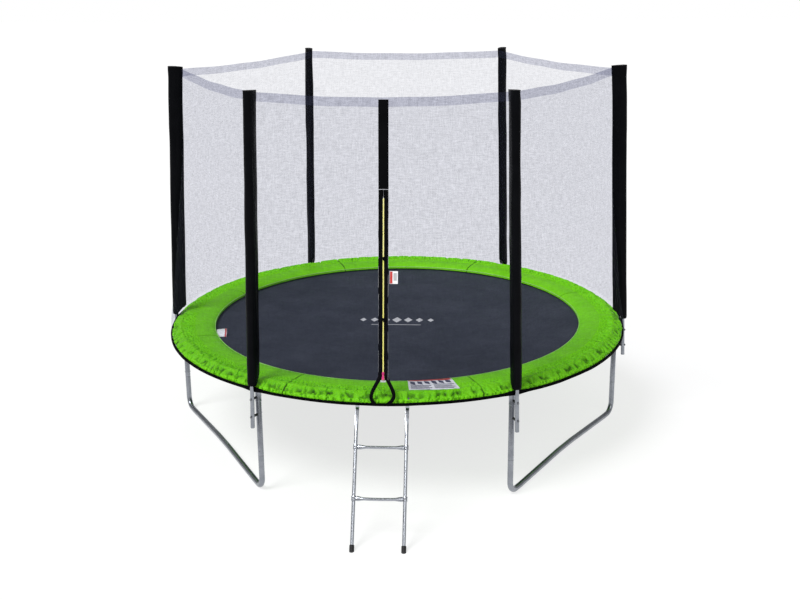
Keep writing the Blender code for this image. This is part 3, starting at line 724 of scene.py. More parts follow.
def slab(name, middle, half, surface):
    """A closed thin solid round a grid of middle points, half thick up and down."""
    rows, columns = middle.shape[:2]
    lift = np.zeros_like(middle)
    lift[..., 2] = half
    verts = np.concatenate([(middle + lift).reshape(-1, 3), (middle - lift).reshape(-1, 3)])
    count = rows * columns
    faces = [list(f) for f in lattice(rows, columns)]
    faces += [list(f[::-1]) for f in lattice(rows, columns, start=count)]
    index = np.arange(count).reshape(rows, columns)
    rim = np.concatenate([index[0], index[1:, -1], index[-1, -2::-1], index[-2:0:-1, 0]])
    for here, there in zip(rim, np.roll(rim, -1)):
        faces.append([here, here + count, there + count, there])
    made = new_object(name, verts, faces, surface, verts[:, :2])
    mend(made)
    made.data.set_sharp_from_angle(angle=math.radians(40))
    return made


def helix(angle):
    """One spring's wire at an angle of the ring: its hook to the mat, its coil and its hook over the rail."""
    run = np.linspace(0, 1, COIL_TURNS * 10 + 1)
    turn = run * COIL_TURNS * 2 * math.pi
    radius = COIL[0] + (COIL[1] - COIL[0]) * run
    coil = np.stack([radius, COIL_R * np.sin(turn), COIL_R * np.cos(turn)], -1)
    return turned(np.concatenate([INNER_HOOK, coil, OUTER_HOOK]), angle)


def turned(local, angle):
    """Points given as (ring radius, sideways, height over the bed), put at an angle of the ring."""
    turn = math.radians(angle)
    x = CENTRE.x + local[:, 0] * math.sin(turn) + local[:, 1] * math.cos(turn)
    y = CENTRE.y - local[:, 0] * math.cos(turn) + local[:, 1] * math.sin(turn)
    return np.stack([x, y, BED_Z + local[:, 2]], -1)


def make_wedge(number):
    """A wedge of mat with its three springs."""
    step = 360 / WEDGES
    angles = np.linspace(number * step, (number + 1) * step, WEDGE_COLUMNS + 1)
    radii = np.concatenate([np.linspace(HOLD_R, MAT_R - HEM_WIDTH - 0.001, 22),
                            [MAT_R - HEM_WIDTH + 0.001, MAT_R - 0.016, MAT_R - 0.001, MAT_R]])
    middle = ring(angles[None, :], radii[:, None], BED_Z)
    half = np.broadcast_to(mat_thickness(radii)[:, None], middle.shape[:2]).copy()
    half[-1] *= 0.5
    mat = slab(f"mat_{number + 1}", middle, half, WEAVE)
    wires = []
    for index in range(SPRINGS // WEDGES):
        angle = number * step + (index + 0.5) * 360 / SPRINGS
        wires.append(sweep("coil", helix(angle), disc(WIRE_R, 6), BRIGHT, up=(0.001, 0.0007, 1)))
        vee = np.array([(radius, -side, height) for radius, side, height in VEE] + VEE[::-1])
        wires.append(sweep("vee", turned(vee, angle), disc(VEE_R, 8), BRIGHT))
    springs = join(f"springs_{number + 1}", wires)
    middle_angle = (number + 0.5) * step
    start = ring(middle_angle, RING_R - RAIL_R, BED_Z)
    end = ring(middle_angle, HOLD_R, BED_Z)
    for piece, slot, node_name in ((mat, "mat_weave", "jump_mat"),
                                   (springs, "galvanised_steel", "spring_ring")):
        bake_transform(piece)
        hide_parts(node_name)


def make_mat_middle():
    """The middle of the mat, which moves as one piece."""
    steps = WEDGES * WEDGE_COLUMNS
    angles = np.linspace(0, 360, steps, endpoint=False)
    radii = np.array(MIDDLE_RADII)
    grid = ring(angles[None, :], radii[:, None], BED_Z)
    verts, faces = [], []
    for side in (1, -1):
        start = len(verts)
        verts += [tuple(p) for p in (grid + np.array([0, 0, side * MAT_T / 2])).reshape(-1, 3)]
        verts.append((CENTRE.x, CENTRE.y, BED_Z + side * MAT_T / 2))
        faces += [list(f) for f in lattice(len(radii), steps, wrap_columns=True, start=start)]
        faces += [[start + i, start + (i + 1) % steps, len(verts) - 1] for i in range(steps)]
    last, below = (len(radii) - 1) * steps, len(verts) // 2
    faces += [[last + i, last + (i + 1) % steps, below + last + (i + 1) % steps, below + last + i]
              for i in range(steps)]
    made = new_object("mat_middle", verts, faces, WEAVE, np.array(verts)[:, :2])
    mend(made)
    made.data.set_sharp_from_angle(angle=math.radians(40))
    finish_piece(made, "bed", "mat_weave", "jump_mat")
    return made


make_mat_middle()
for wedge_number in range(WEDGES):
    make_wedge(wedge_number)


# ------------------------------------------------------------------ safety pad
PAD_PANELS = 8
HALF_PANEL = math.radians(180 / PAD_PANELS)
# The covered top and the closed underside of a section, as (ring radius, height over its top).
COVER = [(1.335, 0), (1.455, 0.0010), (1.480, -0.0008), (1.493, -0.0062), (1.506, -0.0135), (1.518, -0.0212),
         (1.528, -0.0292), (1.5345, -0.0375), (1.5375, -0.0470)]
UNDER = [(1.5335, -0.0473), (1.5305, -0.0440), (1.5275, -0.0360), (1.5200, -0.0292), (1.510, -0.0236),
         (1.498, -0.0199), (1.480, -0.0195), (1.380, -0.0195), (1.315, -0.0198), (1.290, -0.0262),
         (1.266, -0.0362), (1.256, -0.0366), (1.2505, -0.0325), (1.2515, -0.0250), (1.259, -0.0175),
         (1.277, -0.0095), (1.302, -0.0040), (1.326, -0.0006)]
SKIRT_Z = -0.036                # below this the cover is held more firmly
SKIRT_GRIP = 0.40
HELD_R = 1.385                  # the cover is glued down inside this radius
LOOSE_R = 1.475                 # and free of its foam beyond this one
CLOTH_STEP = 0.0070
CLOTH_FRAMES = 24
GROWTH = 0.32                   # extra length the gathers leave in the cover
CLOTH = {"quality": 5, "mass": 0.15, "air_damping": 2.0, "tension_stiffness": 15,
         "compression_stiffness": 15, "shear_stiffness": 8, "bending_stiffness": 20,
         "vertex_group_mass": "held", "pin_stiffness": 5, "shrink_min": -GROWTH, "shrink_max": -GROWTH}
FOAM_GRIP = 0.15                # how firmly the foam holds the loose part of the cover
COVER_OUT = 0.0095              # how far a fold may stand out, sink in, or slide
COVER_IN = 0.0055
COVER_SLIDE = 0.0050
COVER_SEEDS = (3, 8, 15, 22)
CREASE_SEED = 60                # added to a cover's own seed for its creases
CREASES = 64                    # sharp creases drawn in by the stitches, per panel
CREASE_STEP = 0.0052
CREASE_LIMITS = (-0.0025, 0.0075)
SEAM_DEPTH = 0.0050
SEAM_WIDTH = 0.0048
SKIRT_SHADE = 0.0025            # the skirt below the fold gets less light
LABEL_ANGLE = 11.9              # where the printed panel lies, on cloth that stays smooth
LABEL_HALF = 5.8
LABEL_FADE = 1.5                # degrees over which the gathers come back beside it
LABEL_EDGE = 1.468              # and the radius at which they come back outside it
POLE_REACH = 0.045              # the gathers are held down so near to a pole
PIPE_AT = (1.2535, -0.0205)     # the piping round the inner edge, in a lighter green that paints the edge's highlight
PIPE_R = 0.0024


def run_along(points):
    """Distance run along a line at each of its points."""
    return np.concatenate([[0], np.cumsum(np.linalg.norm(np.diff(points, axis=0), axis=1))])


def resample(corners, step):
    """A line through corners as evenly spaced points, and the distance run at each of them."""
    corners = np.array(corners, float)
    run = run_along(corners)
    samples = np.linspace(0, run[-1], int(run[-1] / step) + 1)
    return np.stack([np.interp(samples, run, column) for column in corners.T], -1), samples


PROFILE, PROFILE_RUN = resample(COVER, CLOTH_STEP)
PANEL_ANGLES = np.linspace(-HALF_PANEL, HALF_PANEL, int(2 * HALF_PANEL * RING_R / CLOTH_STEP) + 1)


def profile_normals():
    """Outward and upward parts of the cover's normal at each row of its profile."""
    tangent = np.gradient(PROFILE, axis=0)
    tangent /= np.linalg.norm(tangent, axis=1, keepdims=True)
    return -tangent[:, 1], tangent[:, 0]


def cover_start(seed):
    """Where a cover starts from: how far it stands off its plain shape before it is gathered."""
    radius, run = PROFILE[:, :1], PROFILE_RUN[:, None]
    arc = PANEL_ANGLES[None, :] * RING_R
    lean = arc + 0.8 * value_noise(arc / 0.3, arc * 0, seed + 5) * (radius - HELD_R)
    stand = (0.0038 * value_noise(lean / 0.022, run / 0.12 + arc * 0, seed)
             + 0.0008 * value_noise(arc / 0.013 + run * 0, run / 0.03 + arc * 0, seed + 1))
    return stand * smooth((radius - HELD_R) / 0.03)


def gathered(seed):
    """Moves (outward, sideways, up) of a cover's points when its extra cloth wrinkles over the foam."""
    out, up = profile_normals()
    start = cover_start(seed)
    moves = np.stack([out[:, None] * start, 0 * start, up[:, None] * start], -1)
    sin, cos = np.sin(PANEL_ANGLES), np.cos(PANEL_ANGLES)
    none = 0 * sin
    axes = np.stack([np.stack([sin, -cos, none], -1), np.stack([cos, sin, none], -1),
                     np.stack([none, none, 1 + none], -1)], 1)
    plain = PROFILE[:, :1, None] * axes[None, :, 0] + (PROFILE[:, 1:, None] + PAD_TOP) * axes[None, :, 2]
    points = plain + np.einsum("rci,cij->rcj", moves, axes)
    rows, columns = points.shape[:2]
    sheet = new_object("cover", points.reshape(-1, 3), lattice(rows, columns), GREEN)
    grip = 1 - (1 - FOAM_GRIP) * smooth((PROFILE[:, 0] - HELD_R) / (LOOSE_R - HELD_R))
    grip = np.where(PROFILE[:, 1] < SKIRT_Z, SKIRT_GRIP, grip)
    held = np.repeat(grip[:, None], columns, 1)
    held[-1] = held[:, 0] = held[:, -1] = 1.0
    group = sheet.vertex_groups.new(name="held")
    for index, weight in enumerate(held.ravel()):
        group.add([index], float(weight), "REPLACE")
    modifier = sheet.modifiers.new("cloth", "CLOTH")
    modifier.collision_settings.use_collision = False
    modifier.point_cache.frame_start, modifier.point_cache.frame_end = 1, CLOTH_FRAMES
    for setting, value in CLOTH.items():
        setattr(modifier.settings, setting, value)
    modifier.settings.effector_weights.gravity = 0
    for frame_number in range(1, CLOTH_FRAMES + 1):
        bpy.context.scene.frame_set(frame_number)
    shaped = sheet.evaluated_get(bpy.context.evaluated_depsgraph_get()).to_mesh()
    final = np.zeros(rows * columns * 3)
    shaped.vertices.foreach_get("co", final)
    bpy.data.objects.remove(sheet)
    bpy.context.scene.frame_set(1)
    moves = np.einsum("rcj,cij->rci", final.reshape(rows, columns, 3) - plain, axes)
    return capped(moves, out[:, None], up[:, None])


def capped(moves, out, up):
    """The moves with each fold's height, depth and slide held to its limit."""
    stand = moves[..., 0] * out + moves[..., 2] * up
    slide = moves[..., 0] * up - moves[..., 2] * out
    stand = np.where(stand > 0, COVER_OUT * np.tanh(stand / COVER_OUT), COVER_IN * np.tanh(stand / COVER_IN))
    slide = COVER_SLIDE * np.tanh(slide / COVER_SLIDE)
    sideways = COVER_SLIDE * np.tanh(moves[..., 1] / COVER_SLIDE)
    return np.stack([stand * out + slide * up, sideways, stand * up - slide * out], -1)


def finer(grid):
    """A grid with a point added between each two of its first direction, on a smooth curve."""
    ends = np.concatenate([[2 * grid[0] - grid[1]], grid, [2 * grid[-1] - grid[-2]]])
    between = (9 * (ends[1:-2] + ends[2:-1]) - ends[:-3] - ends[3:]) / 16
    made = np.empty((2 * len(grid) - 1, *grid.shape[1:]))
    made[0::2], made[1::2] = grid, between
    return made


def make_pad_panel(number, moves):
    """One covered foam section of the pad, gathered along its outer edge, with a sewn end at each side."""
    middle = number * 2 * HALF_PANEL
    degrees = np.degrees(PANEL_ANGLES + middle)
    from_pole = np.radians(np.abs(degrees % SECTOR - SECTOR / 2)) * RING_R
    moves = moves * (1 - 0.75 * np.exp(-(from_pole / POLE_REACH) ** 2))[None, :, None]
    from_label = (np.abs((degrees - LABEL_ANGLE + 180) % 360 - 180) - LABEL_HALF) / LABEL_FADE
    calm = 0.9 * (1 - smooth(from_label))[None, :] * (1 - smooth((PROFILE[:, :1] - LABEL_EDGE) / 0.020))
    moves = moves * (1 - calm)[..., None]
    out, up = profile_normals()
    stand = moves[..., 0] * out[:, None] + moves[..., 2] * up[:, None]
    grid = np.concatenate([np.broadcast_to(PROFILE[:, None, :1], (*moves.shape[:2], 1)) + moves[..., :1],
                           PANEL_ANGLES[None, :, None] + moves[..., 1:2] / RING_R,
                           PROFILE[:, None, 1:] + moves[..., 2:]], -1)
    under = np.array([[(radius, angle, height) for angle in PANEL_ANGLES] for radius, height in UNDER])
    grid = np.concatenate([finer(grid), under])
    grid = finer(grid.transpose(1, 0, 2))
    fold = finer(np.concatenate([finer(stand), np.zeros((len(UNDER), moves.shape[1]))]).T)
    radius, angle, height = grid[..., 0], grid[..., 1], grid[..., 2]
    top = smooth((height + 0.026) / 0.008)
    arc = (angle + middle) * RING_R
    drawn = ridge(arc / 0.060 + radius * 0.9, radius / 0.34, 31) - 0.5
    rise = 0.0011 * value_noise(arc / 0.17, radius / 0.10, 21) + 0.0010 * drawn
    seam = (HALF_PANEL - np.abs(angle)) * RING_R
    groove = SEAM_DEPTH * np.exp(-(seam / SEAM_WIDTH) ** 2)
    # painted shade stored with the points: darker in the cover's folds and drawn creases, in the seam grooves
    # (which are also real dips), and on the skirt below the fold
    skirt = SKIRT_SHADE * smooth((radius - 1.484) / 0.010) * (height > -0.050)
    fold = fold + 0.0016 * np.minimum(0, drawn) - 2.4 * groove - skirt
    height = height + (rise - groove) * top
    radius = radius - groove * smooth((radius - 1.52) / 0.01)
    made = closed(f"pad_{number + 1}", ring(np.degrees(angle + middle), radius, PAD_TOP + height), GREEN)
    depth = made.data.attributes.new("fold", "FLOAT", "POINT")
    depth.data.foreach_set("value", fold.astype(np.float32).ravel())
    finish_piece(made, "frame", "pad_cover", "safety_pad")
    return made


def creased(moves, seed):
    """The moves with sharp creases added, which run in from the stitched outer edge and fade out."""
    dice = np.random.default_rng(seed)
    arc, run = PANEL_ANGLES[None, :] * RING_R, (PROFILE_RUN[-1] - PROFILE_RUN)[:, None]
    width = 2 * HALF_PANEL * RING_R
    depth = np.zeros(moves.shape[:2])
    for index in range(CREASES):
        at = width * ((index + dice.uniform(0.1, 0.9)) / CREASES - 0.5)
        lean, reach = dice.normal(0, 0.30), dice.uniform(0.045, 0.125) * dice.uniform(0.5, 1.0)
        deep, half = dice.uniform(0.35, 1.0) * CREASE_STEP, dice.uniform(0.0035, 0.0060)
        across = np.abs(arc - at - lean * run) / half
        shape = np.exp(-across) - 0.35 * np.exp(-((across - 2.2) / 1.3) ** 2)
        depth += deep * shape * smooth((reach - run) / 0.035)
    depth = np.clip(depth, *CREASE_LIMITS)
    out, up = profile_normals()
    return moves - np.stack([depth * out[:, None], 0 * depth, depth * up[:, None]], -1)


COVERS = [creased(gathered(seed), seed + CREASE_SEED) for seed in COVER_SEEDS]
COVERS += [moves[:, ::-1] * np.array([1, -1, 1]) for moves in COVERS]
PADS = [make_pad_panel(number, moves) for number, moves in enumerate(COVERS)]
PIPE = ring(np.linspace(0, 360, 720, endpoint=False), PIPE_AT[0], PAD_TOP + PIPE_AT[1])
finish_piece(sweep("pad_piping_highlight", PIPE, disc(PIPE_R, 8), PIPING_HIGHLIGHT, loop=True), "frame", "pad_cover")
FRONT_PAD = PADS[0].data
PAD_TREE = BVHTree.FromPolygons([v.co[:] for v in FRONT_PAD.vertices],
                                [p.vertices[:] for p in FRONT_PAD.polygons])


# ------------------------------------------------------------------ pole sleeves
SLEEVE_LOW, SLEEVE_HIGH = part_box("pole_sleeve_1")
SLEEVE_R = 0.027
SLEEVE_DEPTH = 0.068            # from the pole's axis to the sewn inner edge
SLEEVE_SLOPE = 1.10             # rise of its lower edge along the fin
FIN_FROM = 0.008                # depth at which the fin's edge starts to rise
SLEEVE_HALF = [(-0.027, 0), (-0.024, 0.0124), (-0.016, 0.0217), (0.0, 0.0270), (0.014, 0.0258),
               (0.028, 0.0222), (0.044, 0.0160), (0.056, 0.0100), (0.0615, 0.0052), (0.064, 0.0030),
               (SLEEVE_DEPTH, 0.0026)]                          # half width at each depth
SLEEVE_OVER = 0.004             # how far the sewn top stands over the foam
SLEEVE_SEED = 40
SLEEVE_SLACK = 0.0035           # how far its folds may reach past its plain depth
STITCH_R = 0.0008
SLEEVE_FOLDS = (0.0020, 0.0012, 0.0020)                         # height of its long, fine and broad folds
SLEEVE_FOOT = [0, 0.002, 0.006, 0.012, 0.020]                   # rows near its two ends
SLEEVE_HEAD = [0.066, 0.057, 0.048, 0.040, 0.032, 0.025, 0.019, 0.0155, 0.014, 0.008, 0.003, 0.0]


def sleeve_outline(steps=26):
    """A closed section as (sideways, depth): round at the pole, pinched to the seam."""
    depths, halves = np.array(SLEEVE_HALF).T
    turn = np.linspace(0, math.pi / 2, 9)
    round_depth, round_half = -SLEEVE_R * np.cos(turn), SLEEVE_R * np.sin(turn)
    far = np.concatenate([np.linspace(0.003, 0.060, steps - 8), [0.0625, 0.064, 0.066, SLEEVE_DEPTH]])
    depth = np.concatenate([round_depth, far])
    half = np.concatenate([round_half, np.interp(far, depths, halves)])
    return np.concatenate([np.stack([half, depth], -1), np.stack([-half, depth], -1)[::-1][:-1]])


def make_sleeve(number):
    """A foam sleeve in its cover: long soft creases, a flat sewn top and a rounded lower end."""
    foot, top = POLE_AXES[number]
    up = (top - foot).normalized()
    out = outward_of(number)
    out = (out - up * out.dot(up)).normalized()
    side = up.cross(out)
    start = (SLEEVE_LOW.z - foot.z) / up.z
    length = (SLEEVE_HIGH.z - foot.z) / up.z + SLEEVE_OVER - start
    outline = sleeve_outline()
    reach = np.concatenate([SLEEVE_FOOT, np.linspace(0.030, length - 0.075, 130),
                            length - np.array(SLEEVE_HEAD)])
    low = reach[:, None]
    sideways, depth = outline[None, :, 0], outline[None, :, 1]
    slope = SLEEVE_SLOPE * np.maximum(0, depth - FIN_FROM) * (1 - smooth(low / 0.20))
    tuck = 1 - 0.10 * (1 - smooth(low / 0.008))
    close = smooth((length - 0.016 - low) / 0.060)
    squeeze = (0.86 + 0.14 * close) * tuck * (1 + 0.12 * np.exp(-((length - low) / 0.006) ** 2))
    around = run_along(outline)[None, :]
    seed = SLEEVE_SEED + number * 7
    long, fine, broad = SLEEVE_FOLDS
    folds = (long * ridge(around / 0.030 + low * 0.9, low / 0.33, seed)
             + fine * value_noise(around / 0.016 - low * 1.7, low / 0.12, seed + 1)
             + broad * value_noise(around / 0.06, low / 0.20, seed + 2))
    folds = folds * smooth(np.abs(sideways) / 0.006) * (0.35 + 0.65 * close)
    across = sideways * squeeze + np.sign(sideways) * folds * (squeeze > 0.2)
    deep = depth * (1 + 0.09 * (1 - close)) + 0.0015 * value_noise(low / 0.15, depth * 0, seed + 3)
    deep = np.clip(deep, -SLEEVE_R - SLEEVE_SLACK, SLEEVE_DEPTH + SLEEVE_SLACK)
    deep = deep * (1 - 0.10 * (1 - smooth(low / 0.010)) * (depth < 0.055))
    along = start + low + slope
    points = (np.array(foot)[None, None] + along[..., None] * np.array(up)
              + across[..., None] * np.array(side) - deep[..., None] * np.array(out))
    made = closed(f"sleeve_{number + 1}", points, SLEEVE)
    finish_piece(made, "frame", "sleeve_cover", f"pole_sleeve_{number + 1}")
    stitch = points[4] + (points[4] - points[4].mean(0)) * 0.004
    thread = sweep(f"sleeve_stitch_{number + 1}", stitch, disc(STITCH_R, 6), WEBBING, loop=True, up=tuple(up))
    finish_piece(thread, "frame", "sleeve_cover")


for pole_number in range(POLES):
    make_sleeve(pole_number)


# ------------------------------------------------------------------ net
SHOULDER = NET_LOW.z + 0.073    # just above the pad, where the net starts to lean in
FLARE = 0.240                   # height over which its edges reach the sleeves
EDGE_FOOT = 0.0275              # half gap between two panels at the foot, and above
EDGE_TOP = 0.0035
EDGE_PULL = 7                   # power by which a panel bends in to the poles only near its edges
HEM_TOP = NET_TOP + 0.014
SIDE_SAG = 0.019
TOP_SAG = 0.029
HEM_DEPTH = 0.051
DOOR_TOP = 1.880
DOOR_LOW = CORNER.z
BAND_TOP = DOOR_LOW - 0.002
APEX = CORNER + HINGE_AXIS * ((DOOR_TOP - CORNER.z) / HINGE_AXIS.z)
DIP_TOP = 2.30                  # up to here the net leans back out from the door's apex
NET_MERGE = 0.0004
BILLOW = (0.006, 0.42, 0.55, 61)            # depth, spacing round and up, and seed of the net's waves
RIPPLES = ((0.0024, 0.12, 0.034, 62), (0.0016, 0.05, 0.07, 63))
GATHER = (0.0050, 0.028, 0.42, 64)
NET_SPREAD = 1.42               # metres of net for a radian round it
NET_UV = (1.45, 1.02)           # metres of cloth for a radian round the net, and for a metre up it
NET_FOOT = BAND_Z + 0.012       # the net's lower edge, inside its webbing
ABOVE = np.linspace(0.2, 1, 5)  # levels of the hem's rows over the net


def net_edge(height):
    """Angle of a panel's edge from its middle."""
    flare = smooth((height - SHOULDER) / FLARE)
    gap = EDGE_FOOT + (EDGE_TOP - EDGE_FOOT) * flare
    return SECTOR / 2 - np.degrees(gap / (NET_R - 0.06 * flare))


def net_radius(degrees, height):
    """Ring radius of the net at an angle from the middle of its panel."""
    edge = net_edge(height)
    share = np.clip(np.abs(degrees) / edge, 0, 1)
    flare = smooth((height - SHOULDER) / FLARE)
    lean = np.clip((height - SHOULDER) / (NET_TOP - SHOULDER), 0, 1)
    pull = lean + (flare - lean) * share ** EDGE_PULL
    fin = pole_ring(height) - SLEEVE_DEPTH + 0.003
    straight = fin * np.cos(np.radians(edge)) / np.cos(np.radians(np.minimum(np.abs(degrees), edge)))
    return NET_R + (straight - NET_R) * pull


def wave_of(arc, height, depth, wide, high, seed):
    """One kind of wave in the net."""
    return depth * value_noise(arc / wide, height / high, seed)


def slack(degrees, height, turn):
    """How far the hanging net stands off its plain shape: billows, ripples, and gathers by the poles."""
    arc = np.radians(degrees + turn) * NET_SPREAD
    share = np.abs(degrees) / net_edge(height)
    still = smooth((1 - share) / 0.05) * smooth((height - SHOULDER) / 0.10)
    still = still * smooth((NET_TOP - height) / 0.10)
    billow = wave_of(arc, height, *BILLOW)
    ripple = wave_of(arc, height, *RIPPLES[0]) + wave_of(arc, height, *RIPPLES[1])
    gather = wave_of(arc, height, *GATHER) * smooth((share - 0.80) / 0.18)
    return still * (billow + ripple + gather)


def net_points(degrees, height, turn=0.0):
    """Points of the net on the panel whose middle is turned so far round the ring."""
    radius = net_radius(degrees, height) + slack(degrees, height, turn)
    return ring(degrees + turn, radius, height)


def net_uv(points):
    """Cloth coordinates of the net: distance round it, and height up it."""
    angle = np.arctan2(points[..., 0] - CENTRE.x, CENTRE.y - points[..., 1])
    return np.stack([angle * NET_UV[0], points[..., 2] * NET_UV[1]], -1)


def net_sheet(name, grids, hems):
    """A piece of net from grids of points, whose last rows are its hem where asked."""
    verts, faces, slots = [], [], []
    for points, hem in zip(grids, hems):
        quads = lattice(*points.shape[:2], start=len(verts))
        columns = points.shape[1] - 1
        verts += [tuple(p) for p in points.reshape(-1, 3)]
        faces += [tuple(q) for q in quads]
        slots += [1 if hem and index >= len(quads) - hem * columns else 0 for index in range(len(quads))]
    made = new_object(name, verts, faces, [NET, HEM], net_uv(np.array(verts)).reshape(-1, 2))
    made.data.polygons.foreach_set("material_index", slots)
    mend(made, merge=NET_MERGE)
    return made


def top_of(share, sag):
    """Height of the hanging top hem across a panel."""
    return HEM_TOP - sag * (1 - share ** 2) + 0.0015 * np.sin(share * 9)


def make_net_panel(number):
    """A full panel of net between two poles, with its hem."""
    shares = np.linspace(-1, 1, 130)
    top = top_of(shares, SIDE_SAG)
    under_hem = top - HEM_DEPTH
    heights = [NET_FOOT + (under_hem - NET_FOOT) * level for level in np.linspace(0, 1, 150)]
    heights += [top - HEM_DEPTH * (1 - level) for level in ABOVE]
    grid = np.array([net_points(shares * net_edge(height), height, number * SECTOR) for height in heights])
    made = net_sheet(f"net_{number}", [grid], [len(ABOVE)])
    finish_piece(made, "frame", "net_mesh", f"net_panel_{number}")


def hinge_at(height):
    """The right-hand hinge line at a height."""
    return CORNER + HINGE_AXIS * ((height - CORNER.z) / HINGE_AXIS.z)


def zip_at(height):
    """The zip's line at a height, up the middle of the front."""
    foot = Vector((CENTRE.x, CENTRE.y - NET_R, DOOR_LOW))
    return foot + ZIP_AXIS * ((height - DOOR_LOW) / ZIP_AXIS.z)


def apex_dip(height):
    """How far the net above the door is drawn in at its middle, so that it meets the apex of the flaps."""
    plain = float(net_radius(0.0, DOOR_TOP) + slack(0.0, DOOR_TOP, 0))
    step = plain - math.hypot(APEX.x - CENTRE.x, CENTRE.y - APEX.y)
    return step * np.clip((DIP_TOP - height) / (DIP_TOP - DOOR_TOP), 0, 1)


def angle_of(points):
    """Angle round the ring of a point or an array of points, in degrees."""
    points = np.asarray(points, float)
    return np.degrees(np.arctan2(points[..., 0] - CENTRE.x, CENTRE.y - points[..., 1]))


def front_row(height, mix):
    """One level of the fixed net to the right of the door, from its hinge line to the pole."""
    hinged = height <= DOOR_TOP
    start = float(angle_of(hinge_at(height))) if hinged else 0.0
    degrees = start + (float(net_edge(height)) - start) * mix
    row = net_points(degrees, np.full_like(degrees, height))
    if hinged:
        plain = ring(start, net_radius(start, height) + slack(start, height, 0), height)
        shift = np.array(hinge_at(height)) - plain
    else:
        shift = np.array([0, apex_dip(height), 0])
    return row + shift * (1 - mix)[:, None]


def make_net_front():
    """The front panel round the door: both sides, the strip below it and the net and hem above it."""
    shares = np.linspace(0, 1, 64)
    levels = [np.linspace(BAND_TOP, DOOR_TOP, 110), np.linspace(DOOR_TOP + 0.008, DIP_TOP, 40)]
    right = [front_row(height, shares) for height in np.concatenate(levels)]
    last = float(right[-1][0][2])
    top = top_of(shares, TOP_SAG)
    heights = [last + (top - HEM_DEPTH - last) * level for level in np.linspace(0.15, 1, 5)]
    heights += [top - HEM_DEPTH * (1 - level) for level in ABOVE]
    right += [net_points(shares * net_edge(height), height) for height in heights]
    right = np.array(right)
    left = right[:, ::-1] * np.array([-1, 1, 1]) + np.array([2 * CENTRE.x, 0, 0])
    foot = right[0]
    corner = float(angle_of(foot[0]))
    sill = ring(np.linspace(-corner, corner, 90), NET_R, BAND_TOP)
    upper = np.concatenate([left[0], sill[1:-1], foot])
    heights = NET_FOOT + (BAND_TOP - NET_FOOT) * np.linspace(0, 0.9, 7)
    strip = np.array([*(ring(angle_of(upper), NET_R, height) for height in heights), upper])
    made = net_sheet("net_front_fixed", [right, left, strip], [len(ABOVE), len(ABOVE), 0])
    finish_piece(made, "frame", "net_mesh", "net_front")


ZIP_SHIFT = 0.012               # the zip sits a little to the right of the middle
HINGE_FADE = 0.050              # width of cloth beside a flap's hinge line
FLAP_SHORT = 0.0035             # a flap ends so far short of the zip's middle, under the tape
FOLD_IN = (zip_at(CORNER.z + 0.1) - hinge_at(CORNER.z + 0.1)).normalized()
FOLD_IN = (FOLD_IN - HINGE_AXIS * FOLD_IN.dot(HINGE_AXIS)).normalized()


def mirrored(points, side):
    """Points as they are on the right, or mirrored to the left."""
    points = np.array(points, float)
    points[..., 0] = CENTRE.x + side * (points[..., 0] - CENTRE.x)
    return points


def bend_with_flap(piece, side):
    """The piece with its placement baked into its points."""
    start = mirrored(CORNER, side)
    end = mirrored(CORNER + FOLD_IN * HINGE_FADE, side)
    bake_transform(piece)


def make_flap(label, side):
    """A triangular flap of net between the hinge line and the zip."""
    grid = []
    mix = np.linspace(0, 1, 60)
    for height in np.linspace(DOOR_LOW - 0.0015, DOOR_TOP - 0.004, 110):
        hinge, middle = np.array(hinge_at(height)), np.array(zip_at(height))
        middle[0] += FLAP_SHORT + side * ZIP_SHIFT
        row = hinge + (middle - hinge) * mix[:, None]
        rise = (height - DOOR_LOW) / (DOOR_TOP - DOOR_LOW)
        angle = np.arctan2(row[:, 0] - CENTRE.x, CENTRE.y - row[:, 1])
        depth = NET_R - np.hypot(row[:, 0] - CENTRE.x, CENTRE.y - row[:, 1])
        away = np.sin(np.pi * mix)
        ripple = slack(np.degrees(angle), np.full_like(angle, height), 0) * np.minimum(1, 3 * away)
        push = np.clip(depth, 0, None) * max(0, 1 - rise * 1.6) ** 2 * np.minimum(1, 3 * away) + ripple
        row = row + np.stack([np.sin(angle), -np.cos(angle), 0 * angle], -1) * push[:, None]
        grid.append(row)
    points = mirrored(np.array(grid), side)
    made = net_sheet(f"flap_net_{label}", [points], [0])
    bend_with_flap(made, side)
    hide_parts(f"door_flap_{label}")


for panel_number in range(1, POLES):
    make_net_panel(panel_number)
make_net_front()
for flap_label, flap_side in (("left", -1), ("right", 1)):
    make_flap(flap_label, flap_side)


BAND_WAVE = 0.0015
BAND_SECTION = (0.0020, 0.014)


def make_band():
    """The black webbing along the net's foot, pulled in and thickened where it passes a pole."""
    angles = np.linspace(0, 360, 1080, endpoint=False)
    wave = BAND_WAVE * value_noise(np.radians(angles) * RING_R / 0.11, angles * 0, 71)
    from_pole = np.abs((angles % SECTOR) - SECTOR / 2)
    near_pole = np.exp(-(from_pole / 2.0) ** 2)
    radius = NET_R + 0.0005 - 0.0030 * near_pole
    path = ring(angles, radius, BAND_Z + 0.0065 + wave)
    made = sweep("foot_webbing", path, slab_section(*BAND_SECTION), WEBBING, loop=True,
                 scales=1 + 0.8 * near_pole)
    finish_piece(made, "frame", "net_mesh")


make_band()


